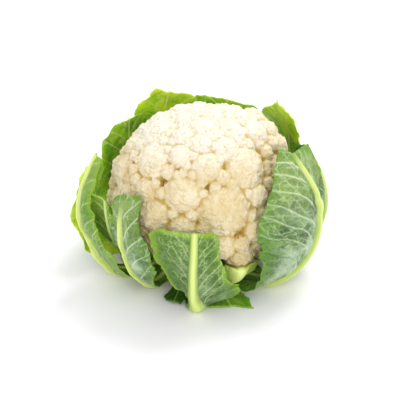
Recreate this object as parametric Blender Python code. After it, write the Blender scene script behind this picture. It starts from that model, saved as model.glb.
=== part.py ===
"""Head of cauliflower: a dense curd of florets on a short cut stalk, wrapped by its leaves."""

import math

import bmesh
import bpy
import numpy as np
from mathutils import Vector
from mathutils.bvhtree import BVHTree

# Every length below is in millimetres and every angle in degrees
MM = 0.001
SEED = 41
GOLDEN = math.pi * (3.0 - math.sqrt(5.0))

# Curd
CURD_Z = 80.0
CURD_R = 80.0
# Depth of the crevices: shallow on the crown and deep round the sides, by the share of the height
CURD_CROWN_DEPTH = 3.8
CURD_SIDE_DEPTH = 11.5
CURD_DEPTH_SHARES = (0.95, 0.45)
CURD_CORE_GAP = 1.6
CURD_RIM_POLAR = 111.0
CURD_SEAT_POLAR = 143.0
CURD_SEAT_DROP = 35.0
CURD_POINTS = 3050
CURD_DOME_POLAR = 119.0
# Rings of points under the head: angle from the top, points, start
CURD_UNDER_RINGS = (
    (124.0, 44, 0.25),
    (131.0, 44, 0.25),
    (137.5, 40, 0.75),
    (143.0, 36, 0.25),
    (158.0, 16, 0.75),
)
# Where the head grew fuller or flatter: azimuth, angle from the top, rise, spread
CURD_SWELLS = (
    (104.0, 54.0, 11.0, 28.0),
    (-108.0, 56.0, -4.0, 28.0),
    (20.0, 20.0, 1.5, 30.0),
    (36.0, 112.0, 6.5, 26.0),
    (180.0, 34.0, -3.8, 34.0),
    (146.0, 36.0, -5.0, 16.0),
    (-140.0, 44.0, -3.5, 24.0),
)
BRANCH_COUNT = 11
BRANCH_RISE = 2.2

# Florets seen from the front: azimuth, angle from the top, half-width
FLORETS = (
    (-15.5, 40.8, 11.2),
    (8.2, 47.6, 15.0),
    (-9.9, 65.0, 21.4),
    (19.9, 78.3, 30.7),
    (44.1, 53.7, 25.1),
    (32.1, 38.3, 11.9),
    (5.1, 32.5, 9.8),
    (-41.6, 47.2, 19.6),
    (-72.3, 66.5, 20.3),
    (-37.9, 68.0, 12.1),
    (-64.3, 87.0, 17.1),
    (-29.5, 83.3, 21.2),
    (-9.1, 88.5, 13.8),
    (32.7, 115.1, 14.2),
    (17.0, 103.3, 13.2),
    (45.2, 74.1, 11.2),
    (92.0, 59.0, 11.4),
    (78.8, 39.8, 12.9),
    (52.0, 29.1, 12.1),
    (-61.3, 30.3, 17.3),
    (-81.0, 49.2, 14.4),
    (57.0, 94.0, 9.5),
    (51.0, 116.0, 12.3),
    (11.5, 20.6, 11.3),
)
FLORET_R_TOP = 9.5
FLORET_R_RIM = 16.0
FLORET_GROWTH = 1.4
FLORET_VARIETY = (0.85, 1.15)
FLORET_LOWEST = 108.0
FLORET_SPOTS = 3000
# Rounds of filling: share of the full size, how closely they crowd, how far they are tucked in
FLORET_ROUNDS = (
    (1.0, 0.86, 0.0),
    (0.62, 0.80, 1.5),
    (0.40, 0.70, 3.0),
)
FLORET_SNUG = 0.80
FLORET_DOME = 0.80

# Lobes carried by each floret
LOBE_R_MIN = 3.9
LOBE_R_MAX = 5.3
LOBE_SHARE = 0.30
LOBE_SINK = 0.70
LOBE_COVER = 0.62
LOBE_FEWEST = 5
LOBE_VARIETY = (0.86, 1.14)
LOBE_FIRST = 0.35
LOBE_LEAN_MORE = 0.05
LOBE_LEAN_MOST = 1.5
VERTEX_STEP = 3.9
VERTEX_NEAR = 2.55
RING_SHARES = (0.985, 0.80, 0.55, 0.28)
RING_SPAN = 0.85
RING_FEWEST = 7
CREVICE_NEAREST = 0.02
CREVICE_FARTHEST = 0.6
CREVICE_STEPS = 59
NEIGHBOUR_COSINE = 0.75

# Stalk
STALK_R = 24.0
STALK_TOP = 44.7
STALK_SIDES = 36
STALK_FACE_R = 22.4
# Radius and height, from the cut face to the top
STALK_PROFILE = (
    (STALK_FACE_R, 0.0),
    (STALK_R, 1.6),
    (STALK_R - 0.3, 14.0),
    (STALK_R, 26.0),
    (STALK_R - 0.2, 38.0),
    (STALK_R, STALK_TOP),
)
STALK_TWIST = 0.11
STALK_RIDGES = 7
STALK_RIDGE_DEPTH = 0.9

# Leaves
ROOT_R = 24.4
BLADE_T = 1.2
EDGE_RIPPLE = 0.055
EDGE_RIPPLE_TURNS = 5.3
CLEARANCE = 0.7
CLEARANCE_STEPS = (0.0, 0.5, 1.0, 1.6, 2.4)
FLOOR_LIFT = 0.15
LOOK_ROUND = 3.2
LOOK_SIDES = 8
SETTLE_ROUNDS = 8
SETTLE_DONE = 0.01
SETTLE_SPREAD = 0.8
SETTLE_OWN = 0.5
BLADE_COLUMNS = (0.27, 0.52, 0.77, 1.0)
RIB_BULGE = (1.0, 0.74, 0.0)
RIB_INSIDE = 0.45
RIB_SHOULDER = 1.2
LEAN_LEAST = 0.45
EDGE_CURVE = 1.5
WAVE_SHIFT = 0.3
WAVE_PHASE = 9.0
WAVE_RISE = 2.5
SPLINE_STEPS = 24
FAR = 400.0

# Leaf tables run from the root to the tip. rib: azimuth, distance from the axis, height.
# width: share of the length, left half-width, right half-width, seen from outside.
# edge: share of the length, how far the left and right edges stand out or in.
# rib_half, rib_high: share of the length, half-width and height of the midrib.
# wave: rise of the waved edge, waves over the length, start.
# slant: how much longer the right side is than the left.
LEAVES = (
    {
        "name": "leaf_stub",
        "rows": 8,
        "rib": ((24, 24.4, 27), (25, 40, 21), (26, 54, 19), (27, 66, 24), (28, 73, 34), (28, 76, 44)),
        "width": ((0, 11, 11), (0.5, 13, 17), (0.8, 15, 20), (1, 12, 15)),
        "edge": ((0, 0, 0), (1, -1, 1)),
        "rib_half": ((0, 9.0), (0.3, 8.6), (0.6, 8.3), (1, 8.0)),
        "rib_high": ((0, 4.5), (0.4, 4.3), (1, 4.0)),
        "wave": (0.4, 2.0, 0.0),
        "slant": 0.0,
        "colour": (0.42, 0.56, 0.14),
    },
    {
        "name": "leaf_left_inner",
        "rows": 12,
        "rib": ((-60, 24.4, 34), (-60, 42, 29), (-61, 60, 29), (-62, 75, 39), (-63, 83, 56), (-64, 86, 74),
                (-66, 86, 94)),
        "width": ((0, 8, 8), (0.3, 12, 20), (0.55, 14, 26), (0.8, 17, 14), (0.92, 12, 8), (1, 5, 4)),
        "edge": ((0, 0, 0), (0.5, 4, 0), (0.8, 11, -1), (1, 8, 0)),
        "rib_half": ((0, 7.0), (0.3, 4.7), (0.6, 3.1), (1, 1.6)),
        "rib_high": ((0, 4.0), (0.4, 2.8), (1, 1.0)),
        "wave": (1.2, 3.0, 0.6),
        "slant": -0.06,
        "colour": (0.20, 0.38, 0.12),
    },
    {
        "name": "leaf_base_left",
        "rows": 7,
        "rib": ((-17, 24.4, 31), (-17, 34, 22), (-17, 46, 11), (-17, 57, 5.5), (-17, 68.5, 4)),
        "width": ((0, 3, 3), (0.5, 4, 4), (0.7, 6, 7), (0.88, 10, 9), (1, 8, 7)),
        "edge": ((0, 0, 0), (1, 1, 1)),
        "rib_half": ((0, 2.6), (0.6, 1.8), (1, 1.4)),
        "rib_high": ((0, 2.4), (0.4, 1.8), (1, 0.8)),
        "wave": (0.6, 2.5, 0.3),
        "slant": 0.0,
        "colour": (0.07, 0.22, 0.04),
    },
    {
        "name": "leaf_back_left",
        "rows": 14,
        "rib": ((-138, 24.4, 22), (-138, 44, 14), (-138, 62, 11), (-138, 76, 20), (-138, 85, 38),
                (-137, 90, 60), (-136, 91, 84), (-134, 89, 104), (-132, 84, 121)),
        "width": ((0, 9, 9), (0.25, 15, 15), (0.45, 38, 34), (0.65, 46, 44), (0.82, 42, 40), (0.93, 34, 32),
                  (1, 18, 14)),
        "edge": ((0, 0, 0), (0.5, 2, 2), (1, 2, 3)),
        "rib_half": ((0, 8.0), (0.3, 5.4), (0.6, 3.5), (1, 1.8)),
        "rib_high": ((0, 5.0), (0.4, 3.5), (1, 1.2)),
        "wave": (2.0, 4.0, 0.2),
        "slant": 0.0,
        "colour": (0.18, 0.36, 0.10),
    },
    {
        "name": "leaf_back_right",
        "rows": 14,
        "rib": ((163, 24.4, 22), (163, 44, 14), (163, 62, 11), (163, 76, 20), (162, 86, 38), (161, 92, 60),
                (160, 94, 84), (160, 91, 106), (160, 85, 121), (160, 79, 135.5)),
        "width": ((0, 9, 9), (0.25, 15, 15), (0.45, 38, 38), (0.65, 46, 46), (0.82, 38, 42), (0.93, 32, 36),
                  (1, 25, 30)),
        "edge": ((0, 0, 0), (0.5, 2, 2), (1, 2, 2)),
        "rib_half": ((0, 8.0), (0.3, 5.4), (0.6, 3.5), (1, 1.8)),
        "rib_high": ((0, 5.0), (0.4, 3.5), (1, 1.2)),
        "wave": (2.0, 4.0, 0.7),
        "slant": 0.02,
        "colour": (0.18, 0.36, 0.10),
    },
    {
        "name": "leaf_front_left",
        "rows": 15,
        "rib": ((-42, 24.4, 22), (-42, 40, 12), (-41.5, 54, 8.5), (-41.5, 66, 13), (-42.5, 75.5, 26),
                (-44, 81, 40), (-45, 85, 56), (-45, 86.5, 70), (-45, 86, 83), (-45, 83.5, 96),
                (-45, 77.5, 110.5)),
        "width": ((0, 9, 9), (0.25, 7, 9), (0.36, 5, 17), (0.5, 5, 30), (0.62, 9, 32), (0.75, 11, 24),
                  (0.85, 11, 18), (0.94, 11, 18), (1, 11, 16)),
        "edge": ((0, 0, 0), (1, 0, 0)),
        "rib_half": ((0, 8.0), (0.3, 7.0), (0.42, 4.6), (0.6, 3.6), (1, 2.0)),
        "rib_high": ((0, 5.5), (0.4, 3.8), (1, 1.2)),
        "wave": (0.8, 3.0, 0.1),
        "slant": 0.035,
        "colour": (0.24, 0.42, 0.16),
    },
    {
        "name": "leaf_far_right",
        "rows": 14,
        "rib": ((94, 24.4, 20), (93, 46, 11), (91, 68, 8), (90, 87, 12), (89, 99, 24), (88.5, 109, 44),
                (89, 113.5, 66), (92, 110.5, 88), (97, 103, 104), (100, 96, 115)),
        "width": ((0, 9, 9), (0.25, 11, 14), (0.45, 11, 34), (0.65, 11, 38), (0.85, 14, 30), (1, 10, 12)),
        "edge": ((0, 0, 0), (0.5, -12, -8), (1, -7, -5)),
        "rib_half": ((0, 8.0), (0.3, 6.5), (0.6, 5.0), (1, 2.2)),
        "rib_high": ((0, 5.5), (0.4, 4.4), (0.7, 3.4), (1, 1.4)),
        "wave": (1.8, 4.0, 0.4),
        "slant": 0.0,
        "colour": (0.22, 0.40, 0.15),
    },
    {
        "name": "leaf_left_back",
        "rows": 14,
        "rib": ((-112, 24.4, 9), (-112, 48, 7), (-112, 70, 7), (-112, 86, 14), (-112, 97, 28),
                (-113, 104, 45), (-114, 106, 62), (-115, 104, 80)),
        "width": ((0, 8, 8), (0.3, 14, 14), (0.45, 30, 40), (0.6, 38, 50), (0.76, 36, 43), (0.88, 26, 26),
                  (1, 10, 8)),
        "edge": ((0, 0, 0), (0.5, 0, 7), (1, 0, 6)),
        "rib_half": ((0, 7.5), (0.3, 5.1), (0.6, 3.4), (1, 1.8)),
        "rib_high": ((0, 5.0), (0.4, 3.5), (1, 1.2)),
        "wave": (1.8, 4.0, 0.0),
        "slant": 0.0,
        "colour": (0.12, 0.34, 0.06),
    },
    {
        "name": "leaf_back",
        "rows": 15,
        "rib": ((-164, 24.4, 9), (-164, 48, 7), (-164, 70, 7), (-164, 85, 17), (-163, 94, 36), (-162, 98, 58),
                (-161, 98, 82), (-161, 94, 106), (-160, 85, 127), (-160, 72, 145), (-160, 63.5, 154)),
        "width": ((0, 9, 9), (0.3, 15, 15), (0.5, 38, 38), (0.7, 44, 41), (0.87, 38, 25), (0.95, 34, 19),
                  (1, 31, 16)),
        "edge": ((0, 0, 0), (0.5, 1, 1), (1, 1, 2)),
        "rib_half": ((0, 8.5), (0.3, 5.7), (0.6, 3.7), (1, 1.8)),
        "rib_high": ((0, 5.5), (0.4, 3.8), (1, 1.2)),
        "wave": (2.0, 4.0, 0.5),
        "slant": 0.08,
        "colour": (0.20, 0.40, 0.08),
    },
    {
        "name": "leaf_right_back",
        "rows": 15,
        "rib": ((130, 24.4, 9), (130, 48, 7), (130, 70, 7), (130, 86, 17), (128, 96, 36), (125, 102, 58),
                (122, 103, 82), (120, 98, 106), (115, 89, 128), (109, 79, 145.5), (105.5, 76.5, 152)),
        "width": ((0, 9, 9), (0.3, 15, 15), (0.5, 34, 38), (0.65, 26, 42), (0.8, 20, 38), (0.9, 13, 28),
                  (1, 7, 12)),
        "edge": ((0, 0, 0), (0.5, 0, 0), (1, 0, 1)),
        "rib_half": ((0, 8.0), (0.3, 5.4), (0.6, 3.5), (1, 1.8)),
        "rib_high": ((0, 5.0), (0.4, 3.5), (1, 1.2)),
        "wave": (2.0, 4.0, 0.9),
        "slant": -0.03,
        "colour": (0.14, 0.36, 0.06),
    },
    {
        "name": "leaf_left",
        "rows": 15,
        "rib": ((-68, 24.4, 9), (-69, 45, 7), (-70, 62, 7), (-72, 77, 14), (-74, 88, 29), (-76, 96, 46),
                (-76, 99.5, 61), (-76, 99.5, 78), (-76, 96.5, 92.5), (-75, 91.5, 107), (-74, 84, 124)),
        "width": ((0, 8, 8), (0.12, 8, 10), (0.2, 8, 16), (0.28, 7, 30), (0.35, 6, 44), (0.5, 6, 38), (0.62, 5, 24),
                  (0.75, 5, 16), (0.9, 5, 16), (1, 2, 4)),
        "edge": ((0, 0, 0), (0.4, 0, -9), (0.7, 0, -9), (1, 0, -4)),
        "rib_half": ((0, 7.5), (0.3, 5.6), (0.6, 4.3), (1, 2.2)),
        "rib_high": ((0, 6.5), (0.4, 6.0), (0.7, 4.2), (1, 1.8)),
        "wave": (0.9, 3.0, 0.3),
        "slant": 0.0,
        "colour": (0.26, 0.44, 0.14),
    },
    {
        "name": "leaf_front",
        "rows": 16,
        "rib": ((0, 24.4, 11), (0.5, 45, 8.5), (0.9, 65, 5.8), (0.4, 78, 8.8), (-1.9, 83, 22), (-2.1, 85, 45),
                (-1.5, 87, 68), (-1, 88.5, 90)),
        "width": ((0, 10, 10), (0.3, 10.5, 10.5), (0.37, 10, 24), (0.41, 8, 43), (0.47, 6.5, 41),
                  (0.53, 10, 38), (0.6, 17, 32), (0.67, 25.5, 27), (0.73, 29, 25), (0.8, 32.5, 22),
                  (0.87, 36.5, 20.5), (0.94, 37, 18.5), (1, 27, 16.5)),
        "edge": ((0, 0, 0), (0.36, -5, -4), (0.6, -1, 1), (1, -1, -1)),
        "rib_half": ((0, 9.0), (0.3, 9.4), (0.38, 7.4), (0.47, 4.8), (0.6, 3.5), (1, 2.2)),
        "rib_high": ((0, 5.5), (0.4, 4.6), (0.6, 3.2), (1, 2.0)),
        "wave": (0.8, 3.0, 0.0),
        "slant": 0.0,
        "colour": (0.24, 0.42, 0.16),
    },
    {
        "name": "leaf_right",
        "rows": 17,
        "rib": ((54, 24.4, 9), (56, 45, 7), (58, 64, 7), (62, 80, 9), (68, 94, 20), (72, 104, 36),
                (73, 109, 56), (72.3, 108.5, 76), (70.2, 103, 95), (68.7, 95, 111), (67, 87, 124),
                (64.5, 76, 142)),
        "width": ((0, 11, 11), (0.08, 12, 22), (0.13, 16, 24), (0.2, 34, 19), (0.27, 55, 15), (0.34, 71, 12),
                  (0.44, 81, 9), (0.5, 74, 9), (0.62, 77, 9.5), (0.69, 70, 11), (0.75, 62, 13),
                  (0.81, 60, 17), (0.845, 53, 19), (0.875, 37, 21), (0.94, 23, 29), (1, 9, 35)),
        "edge": ((0, 0, 0), (0.2, 5, -1), (0.34, -10, -2), (0.5, -17, -2), (0.75, -19, -2), (0.9, -9, 3),
                 (1, -2, 5)),
        "rib_half": ((0, 9.5), (0.3, 9.0), (0.45, 7.2), (0.6, 5.2), (0.8, 3.4), (1, 2.2)),
        "rib_high": ((0, 6.5), (0.4, 5.6), (0.7, 3.6), (1, 1.6)),
        "wave": (1.0, 4.0, 0.2),
        "slant": -0.07,
        "colour": (0.24, 0.42, 0.16),
    },
    {
        "name": "leaf_base_right",
        "rows": 8,
        "rib": ((23, 24.4, 20), (23, 42, 11), (23.5, 56, 5.5), (23.5, 68, 3.2), (23, 81, 3.0)),
        "width": ((0, 7, 7), (0.5, 12, 12), (0.75, 16, 17), (1, 17, 16)),
        "edge": ((0, 0, 0), (1, 0, 1)),
        "rib_half": ((0, 5.0), (0.3, 3.6), (0.6, 2.6), (1, 1.6)),
        "rib_high": ((0, 3.0), (0.4, 2.1), (1, 0.8)),
        "wave": (0.6, 2.5, 0.3),
        "slant": 0.18,
        "colour": (0.07, 0.22, 0.04),
    },
)

CURD_COLOUR = (0.86, 0.76, 0.52)
STALK_COLOUR = (0.62, 0.68, 0.36)
CURD_ROUGHNESS = 0.62
STALK_ROUGHNESS = 0.55
LEAF_ROUGHNESS = 0.48


def clear_scene():
    """Start from an empty file."""
    for obj in list(bpy.data.objects):
        bpy.data.objects.remove(obj, do_unlink=True)
    for mesh in list(bpy.data.meshes):
        bpy.data.meshes.remove(mesh)


def material(name, colour, roughness):
    """One plain surface for one sub-part."""
    mat = bpy.data.materials.new(name)
    mat.use_nodes = True
    shader = mat.node_tree.nodes["Principled BSDF"]
    shader.inputs["Base Color"].default_value = (*colour, 1.0)
    shader.inputs["Roughness"].default_value = roughness
    shader.inputs["Metallic"].default_value = 0.0
    return mat


def heading(azimuth, polar):
    """Unit vector from the curd's centre; azimuth 0 is the front, polar 0 the top."""
    a = math.radians(azimuth)
    p = math.radians(polar)
    return np.array((math.sin(a) * math.sin(p), -math.cos(a) * math.sin(p), math.cos(p)))


def even_directions(count):
    """Directions spread evenly over a sphere along a golden spiral."""
    k = np.arange(count)
    z = 1.0 - (2.0 * k + 1.0) / count
    turn = k * GOLDEN
    ring = np.sqrt(1.0 - z * z)
    return np.stack((ring * np.cos(turn), ring * np.sin(turn), z), axis=1)


def unit_rows(rows):
    """Each row scaled to length one."""
    return rows / np.linalg.norm(rows, axis=-1, keepdims=True)


def side_pair(axis):
    """Two unit vectors square to an axis and to each other."""
    helper = np.array((0.0, 0.0, 1.0)) if abs(axis[2]) < 0.9 else np.array((1.0, 0.0, 0.0))
    first = np.cross(helper, axis)
    first = first / np.linalg.norm(first)
    return first, np.cross(axis, first)


def add_object(name, verts, faces, mat, smooth):
    """A closed mesh from rows of points in millimetres about the curd's centre."""
    mesh = bpy.data.meshes.new(name)
    placed = [(x * MM, y * MM, (z + CURD_Z) * MM) for x, y, z in verts]
    mesh.from_pydata(placed, [], [tuple(int(i) for i in face) for face in faces])
    mesh.validate()
    bm = bmesh.new()
    bm.from_mesh(mesh)
    bmesh.ops.recalc_face_normals(bm, faces=bm.faces)
    bm.to_mesh(mesh)
    bm.free()
    for poly in mesh.polygons:
        poly.use_smooth = smooth
    mesh.materials.append(mat)
    obj = bpy.data.objects.new(name, mesh)
    bpy.context.scene.collection.objects.link(obj)
    return obj


def curd_swell(directions):
    """How far the head stands out beyond a plain ball along each direction."""
    rise = np.zeros(len(directions))
    for azimuth, polar, amount, spread in CURD_SWELLS:
        apart = np.degrees(np.arccos(np.clip(directions @ heading(azimuth, polar), -1.0, 1.0)))
        rise += amount * np.exp(-(apart / spread) ** 2)
    return rise


def crevice_depth(directions):
    """How deep the crevices are along each direction."""
    high, low = CURD_DEPTH_SHARES
    t = np.clip((directions[:, 2] - high) / (low - high), 0.0, 1.0)
    return CURD_CROWN_DEPTH + (CURD_SIDE_DEPTH - CURD_CROWN_DEPTH) * t * t * (3.0 - 2.0 * t)


def floret_layout():
    """Directions, half-widths and tucks of the florets: the placed ones, then rounds filling the gaps."""
    rng = np.random.default_rng(SEED)
    heads = [heading(a, p) for a, p, _ in FLORETS]
    sizes = [r for _, _, r in FLORETS]
    tucks = [0.0] * len(FLORETS)
    spots = even_directions(FLORET_SPOTS)
    rng.shuffle(spots)
    for share, crowding, tuck in FLORET_ROUNDS:
        for spot in spots:
            polar = math.degrees(math.acos(spot[2]))
            if polar > FLORET_LOWEST:
                continue
            grown = FLORET_R_TOP + (FLORET_R_RIM - FLORET_R_TOP) * min(1.0, polar / 90.0) ** FLORET_GROWTH
            size = grown * share * rng.uniform(*FLORET_VARIETY)
            near = np.arccos(np.clip(np.array(heads) @ spot, -1.0, 1.0)) * CURD_R
            room = np.min(near / crowding - np.array(sizes))
            if room > size * FLORET_SNUG:
                heads.append(spot)
                sizes.append(min(size, room))
                tucks.append(tuck)
    return np.array(heads), np.array(sizes), np.array(tucks)


def floret_domes(heads, wide, tucks):
    """Radius and centre of the ball that makes each floret's dome, and how far down it shows."""
    top = CURD_R + curd_swell(heads) - tucks
    edge = top - np.minimum(crevice_depth(heads), FLORET_DOME * wide)
    angle = wide / CURD_R
    apart = edge ** 2 + top ** 2 - 2.0 * edge * top * np.cos(angle)
    balls = apart / (2.0 * (top - edge * np.cos(angle)))
    leans = np.arctan2(edge * np.sin(angle), edge * np.cos(angle) - (top - balls))
    return balls, heads * (top - balls)[:, None], leans


def curd_balls(heads, sizes, middles, leans):
    """Centres and radii of every floret and of the lobes standing out of it."""
    rng = np.random.default_rng(SEED + 1)
    centres = []
    radii = []
    for axis, size, middle, shown in zip(heads, sizes, middles, leans):
        centres.append(middle)
        radii.append(size)
        first, second = side_pair(axis)
        lobe = min(LOBE_R_MAX, max(LOBE_R_MIN, size * LOBE_SHARE))
        cap = 1.0 - math.cos(min(LOBE_LEAN_MOST, shown + LOBE_LEAN_MORE))
        count = max(LOBE_FEWEST, int(round(2.0 * cap * (size / lobe) ** 2 * LOBE_COVER)))
        start = rng.uniform(0.0, 2.0 * math.pi)
        for k in range(count):
            lean = math.acos(1.0 - cap * (k + LOBE_FIRST) / count)
            turn = start + k * GOLDEN
            out = axis * math.cos(lean) + (first * math.cos(turn) + second * math.sin(turn)) * math.sin(lean)
            grown = lobe * rng.uniform(*LOBE_VARIETY)
            centres.append(middle + out * (size - LOBE_SINK * grown))
            radii.append(grown)
    return np.array(centres), np.array(radii)


def ball_reach(directions, centre, radius):
    """Far crossing of one ball along each direction, or zero where it is missed."""
    along = directions @ centre
    under = along * along - (centre @ centre - radius * radius)
    return np.where((under > 0.0) & (along > 0.0), along + np.sqrt(np.maximum(under, 0.0)), 0.0)


def floret_spots(heads, sizes, middles):
    """Vertex directions in rings on every floret, the outermost ring along the crevices."""
    spots = []
    steps = np.linspace(CREVICE_NEAREST, CREVICE_FARTHEST, CREVICE_STEPS)
    for k, axis in enumerate(heads):
        first, second = side_pair(axis)
        count = max(RING_FEWEST, int(round(2.0 * math.pi * sizes[k] * RING_SPAN / VERTEX_STEP)))
        turns = 2.0 * math.pi * np.arange(count) / count + k
        outs = first * np.cos(turns)[:, None] + second * np.sin(turns)[:, None]
        lines = axis * np.cos(steps)[None, :, None] + outs[:, None, :] * np.sin(steps)[None, :, None]
        flat = lines.reshape(-1, 3)
        own = ball_reach(flat, middles[k], sizes[k])
        rest = core_reach(flat)
        for j in np.nonzero(heads @ axis > NEIGHBOUR_COSINE)[0]:
            if j != k:
                rest = np.maximum(rest, ball_reach(flat, middles[j], sizes[j]))
        lost = (own < rest).reshape(count, CREVICE_STEPS)
        lost[:, -1] = True
        edges = steps[np.argmax(lost, axis=1)]
        for n, (out, edge) in enumerate(zip(outs, edges)):
            for ring, share in enumerate(RING_SHARES):
                if ring < 2 or n % 2 != ring % 2:
                    lean = edge * share
                    spots.append((ring, axis * math.cos(lean) + out * math.sin(lean)))
        spots.append((1, axis))
    spots.sort(key=lambda item: item[0])
    return [spot for _, spot in spots]


def core_reach(directions):
    """Radius of the plain core: round above, drawn in to a flat seat on the stalk below."""
    polar = np.degrees(np.arccos(np.clip(directions[:, 2], -1.0, 1.0)))
    azimuth = np.arctan2(directions[:, 0], -directions[:, 1])
    seat_r = CURD_SEAT_DROP / math.cos(math.radians(180.0 - CURD_SEAT_POLAR))
    slope = np.clip((polar - CURD_RIM_POLAR) / (CURD_SEAT_POLAR - CURD_RIM_POLAR), 0.0, 1.0)
    top = CURD_R - crevice_depth(directions) - CURD_CORE_GAP + curd_swell(directions)
    reach = top + (seat_r - top) * slope
    ridge = np.abs(np.sin(azimuth * BRANCH_COUNT / 2.0)) * np.sin(math.pi * slope)
    reach = reach + BRANCH_RISE * ridge
    flat = CURD_SEAT_DROP / np.maximum(-directions[:, 2], 0.1)
    return np.where(polar > CURD_SEAT_POLAR, flat, reach)


def curd_reach(directions, centres, radii):
    """Outermost point of the core, florets and lobes along each direction."""
    reach = core_reach(directions)
    for centre, radius in zip(centres, radii):
        reach = np.maximum(reach, ball_reach(directions, centre, radius))
    return reach


def build_curd():
    """The white head, grown as one body."""
    heads, wide, tucks = floret_layout()
    sizes, middles, leans = floret_domes(heads, wide, tucks)
    centres, radii = curd_balls(heads, sizes, middles, leans)
    spots = []
    fixed = np.zeros((0, 3))
    for spot in floret_spots(heads, sizes, middles) + list(even_directions(CURD_POINTS)):
        polar = math.degrees(math.acos(max(-1.0, min(1.0, spot[2]))))
        if polar > CURD_DOME_POLAR:
            continue
        if len(fixed) and np.max(fixed @ spot) > math.cos(VERTEX_NEAR / CURD_R):
            continue
        spots.append(spot)
        fixed = np.array(spots)
    for polar, sides, start in CURD_UNDER_RINGS:
        for k in range(sides):
            spots.append(heading(360.0 * (k + start) / sides, polar))
    spots.append(np.array((0.0, 0.0, -1.0)))
    directions = unit_rows(np.array(spots))
    bm = bmesh.new()
    for d in directions:
        bm.verts.new(d)
    bm.verts.ensure_lookup_table()
    bmesh.ops.convex_hull(bm, input=bm.verts, use_existing_faces=False)
    loose = [v for v in bm.verts if not v.link_faces]
    bmesh.ops.delete(bm, geom=loose, context="VERTS")
    bmesh.ops.triangulate(bm, faces=bm.faces)
    bm.verts.index_update()
    hull = unit_rows(np.array([v.co[:] for v in bm.verts]))
    faces = [[v.index for v in f.verts] for f in bm.faces]
    bm.free()
    points = hull * curd_reach(hull, centres, radii)[:, None]
    add_object("curd", points, faces, material("curd_cream", CURD_COLOUR, CURD_ROUGHNESS), True)
    return points, faces


def build_stalk():
    """The short stump, cut flat beneath and faintly ridged where older leaves were broken off."""
    verts = []
    for radius, height in STALK_PROFILE:
        for k in range(STALK_SIDES):
            turn = 2.0 * math.pi * k / STALK_SIDES
            dip = STALK_RIDGE_DEPTH * (0.5 + 0.5 * math.sin(STALK_RIDGES * turn + height * STALK_TWIST))
            verts.append(((radius - dip) * math.sin(turn), -(radius - dip) * math.cos(turn), height - CURD_Z))
    low = len(verts)
    verts.append((0.0, 0.0, -CURD_Z))
    verts.append((0.0, 0.0, STALK_TOP - CURD_Z))
    faces = []
    for ring in range(len(STALK_PROFILE) - 1):
        for k in range(STALK_SIDES):
            a = ring * STALK_SIDES + k
            b = ring * STALK_SIDES + (k + 1) % STALK_SIDES
            faces.append((a, b, b + STALK_SIDES, a + STALK_SIDES))
    last = (len(STALK_PROFILE) - 1) * STALK_SIDES
    for k in range(STALK_SIDES):
        nxt = (k + 1) % STALK_SIDES
        faces.append((low, nxt, k))
        faces.append((low + 1, last + k, last + nxt))
    stalk = add_object("stalk", verts, faces, material("stalk_green", STALK_COLOUR, STALK_ROUGHNESS), True)
    for poly in stalk.data.polygons:
        if abs(poly.normal.z) > 0.9:
            poly.use_smooth = False


def smooth_curve(points, shares):
    """Points at the given shares of the length of a smooth curve through the control points."""
    ctrl = np.array(points, float)
    padded = np.vstack((2.0 * ctrl[0] - ctrl[1], ctrl, 2.0 * ctrl[-1] - ctrl[-2]))
    dense = []
    for k in range(1, len(padded) - 2):
        p0, p1, p2, p3 = padded[k - 1:k + 3]
        for step in range(SPLINE_STEPS):
            t = step / SPLINE_STEPS
            dense.append(0.5 * (2.0 * p1 + (p2 - p0) * t + (2.0 * p0 - 5.0 * p1 + 4.0 * p2 - p3) * t * t
                                + (3.0 * p1 - p0 - 3.0 * p2 + p3) * t * t * t))
    dense.append(ctrl[-1])
    dense = np.array(dense)
    length = np.concatenate(((0.0,), np.cumsum(np.linalg.norm(np.diff(dense, axis=0), axis=1))))
    length = length / length[-1]
    return np.stack([np.interp(shares, length, dense[:, k]) for k in range(3)], axis=1)


def table(rows, shares, column):
    """One column of a leaf table at each share of the length."""
    data = np.array(rows, float)
    return np.interp(shares, data[:, 0], data[:, column])


def leaf_frames(leaf, shares):
    """Midrib direction, radius, side direction and steepness at each share of the length."""
    ctrl = []
    for azimuth, out, height in leaf["rib"]:
        a = math.radians(azimuth)
        ctrl.append((out * math.sin(a), -out * math.cos(a), height - CURD_Z))
    rib = smooth_curve(ctrl, shares)
    radius = np.linalg.norm(rib, axis=1)
    outward = rib / radius[:, None]
    along = np.gradient(outward, shares, axis=0)
    along = along - outward * np.sum(along * outward, axis=1)[:, None]
    along = unit_rows(along)
    side = np.cross(along, outward)
    step = unit_rows(np.gradient(rib, shares, axis=0))
    lean = np.abs(np.sum(step * along, axis=1))
    return outward, radius, side, np.maximum(lean, LEAN_LEAST)


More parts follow.
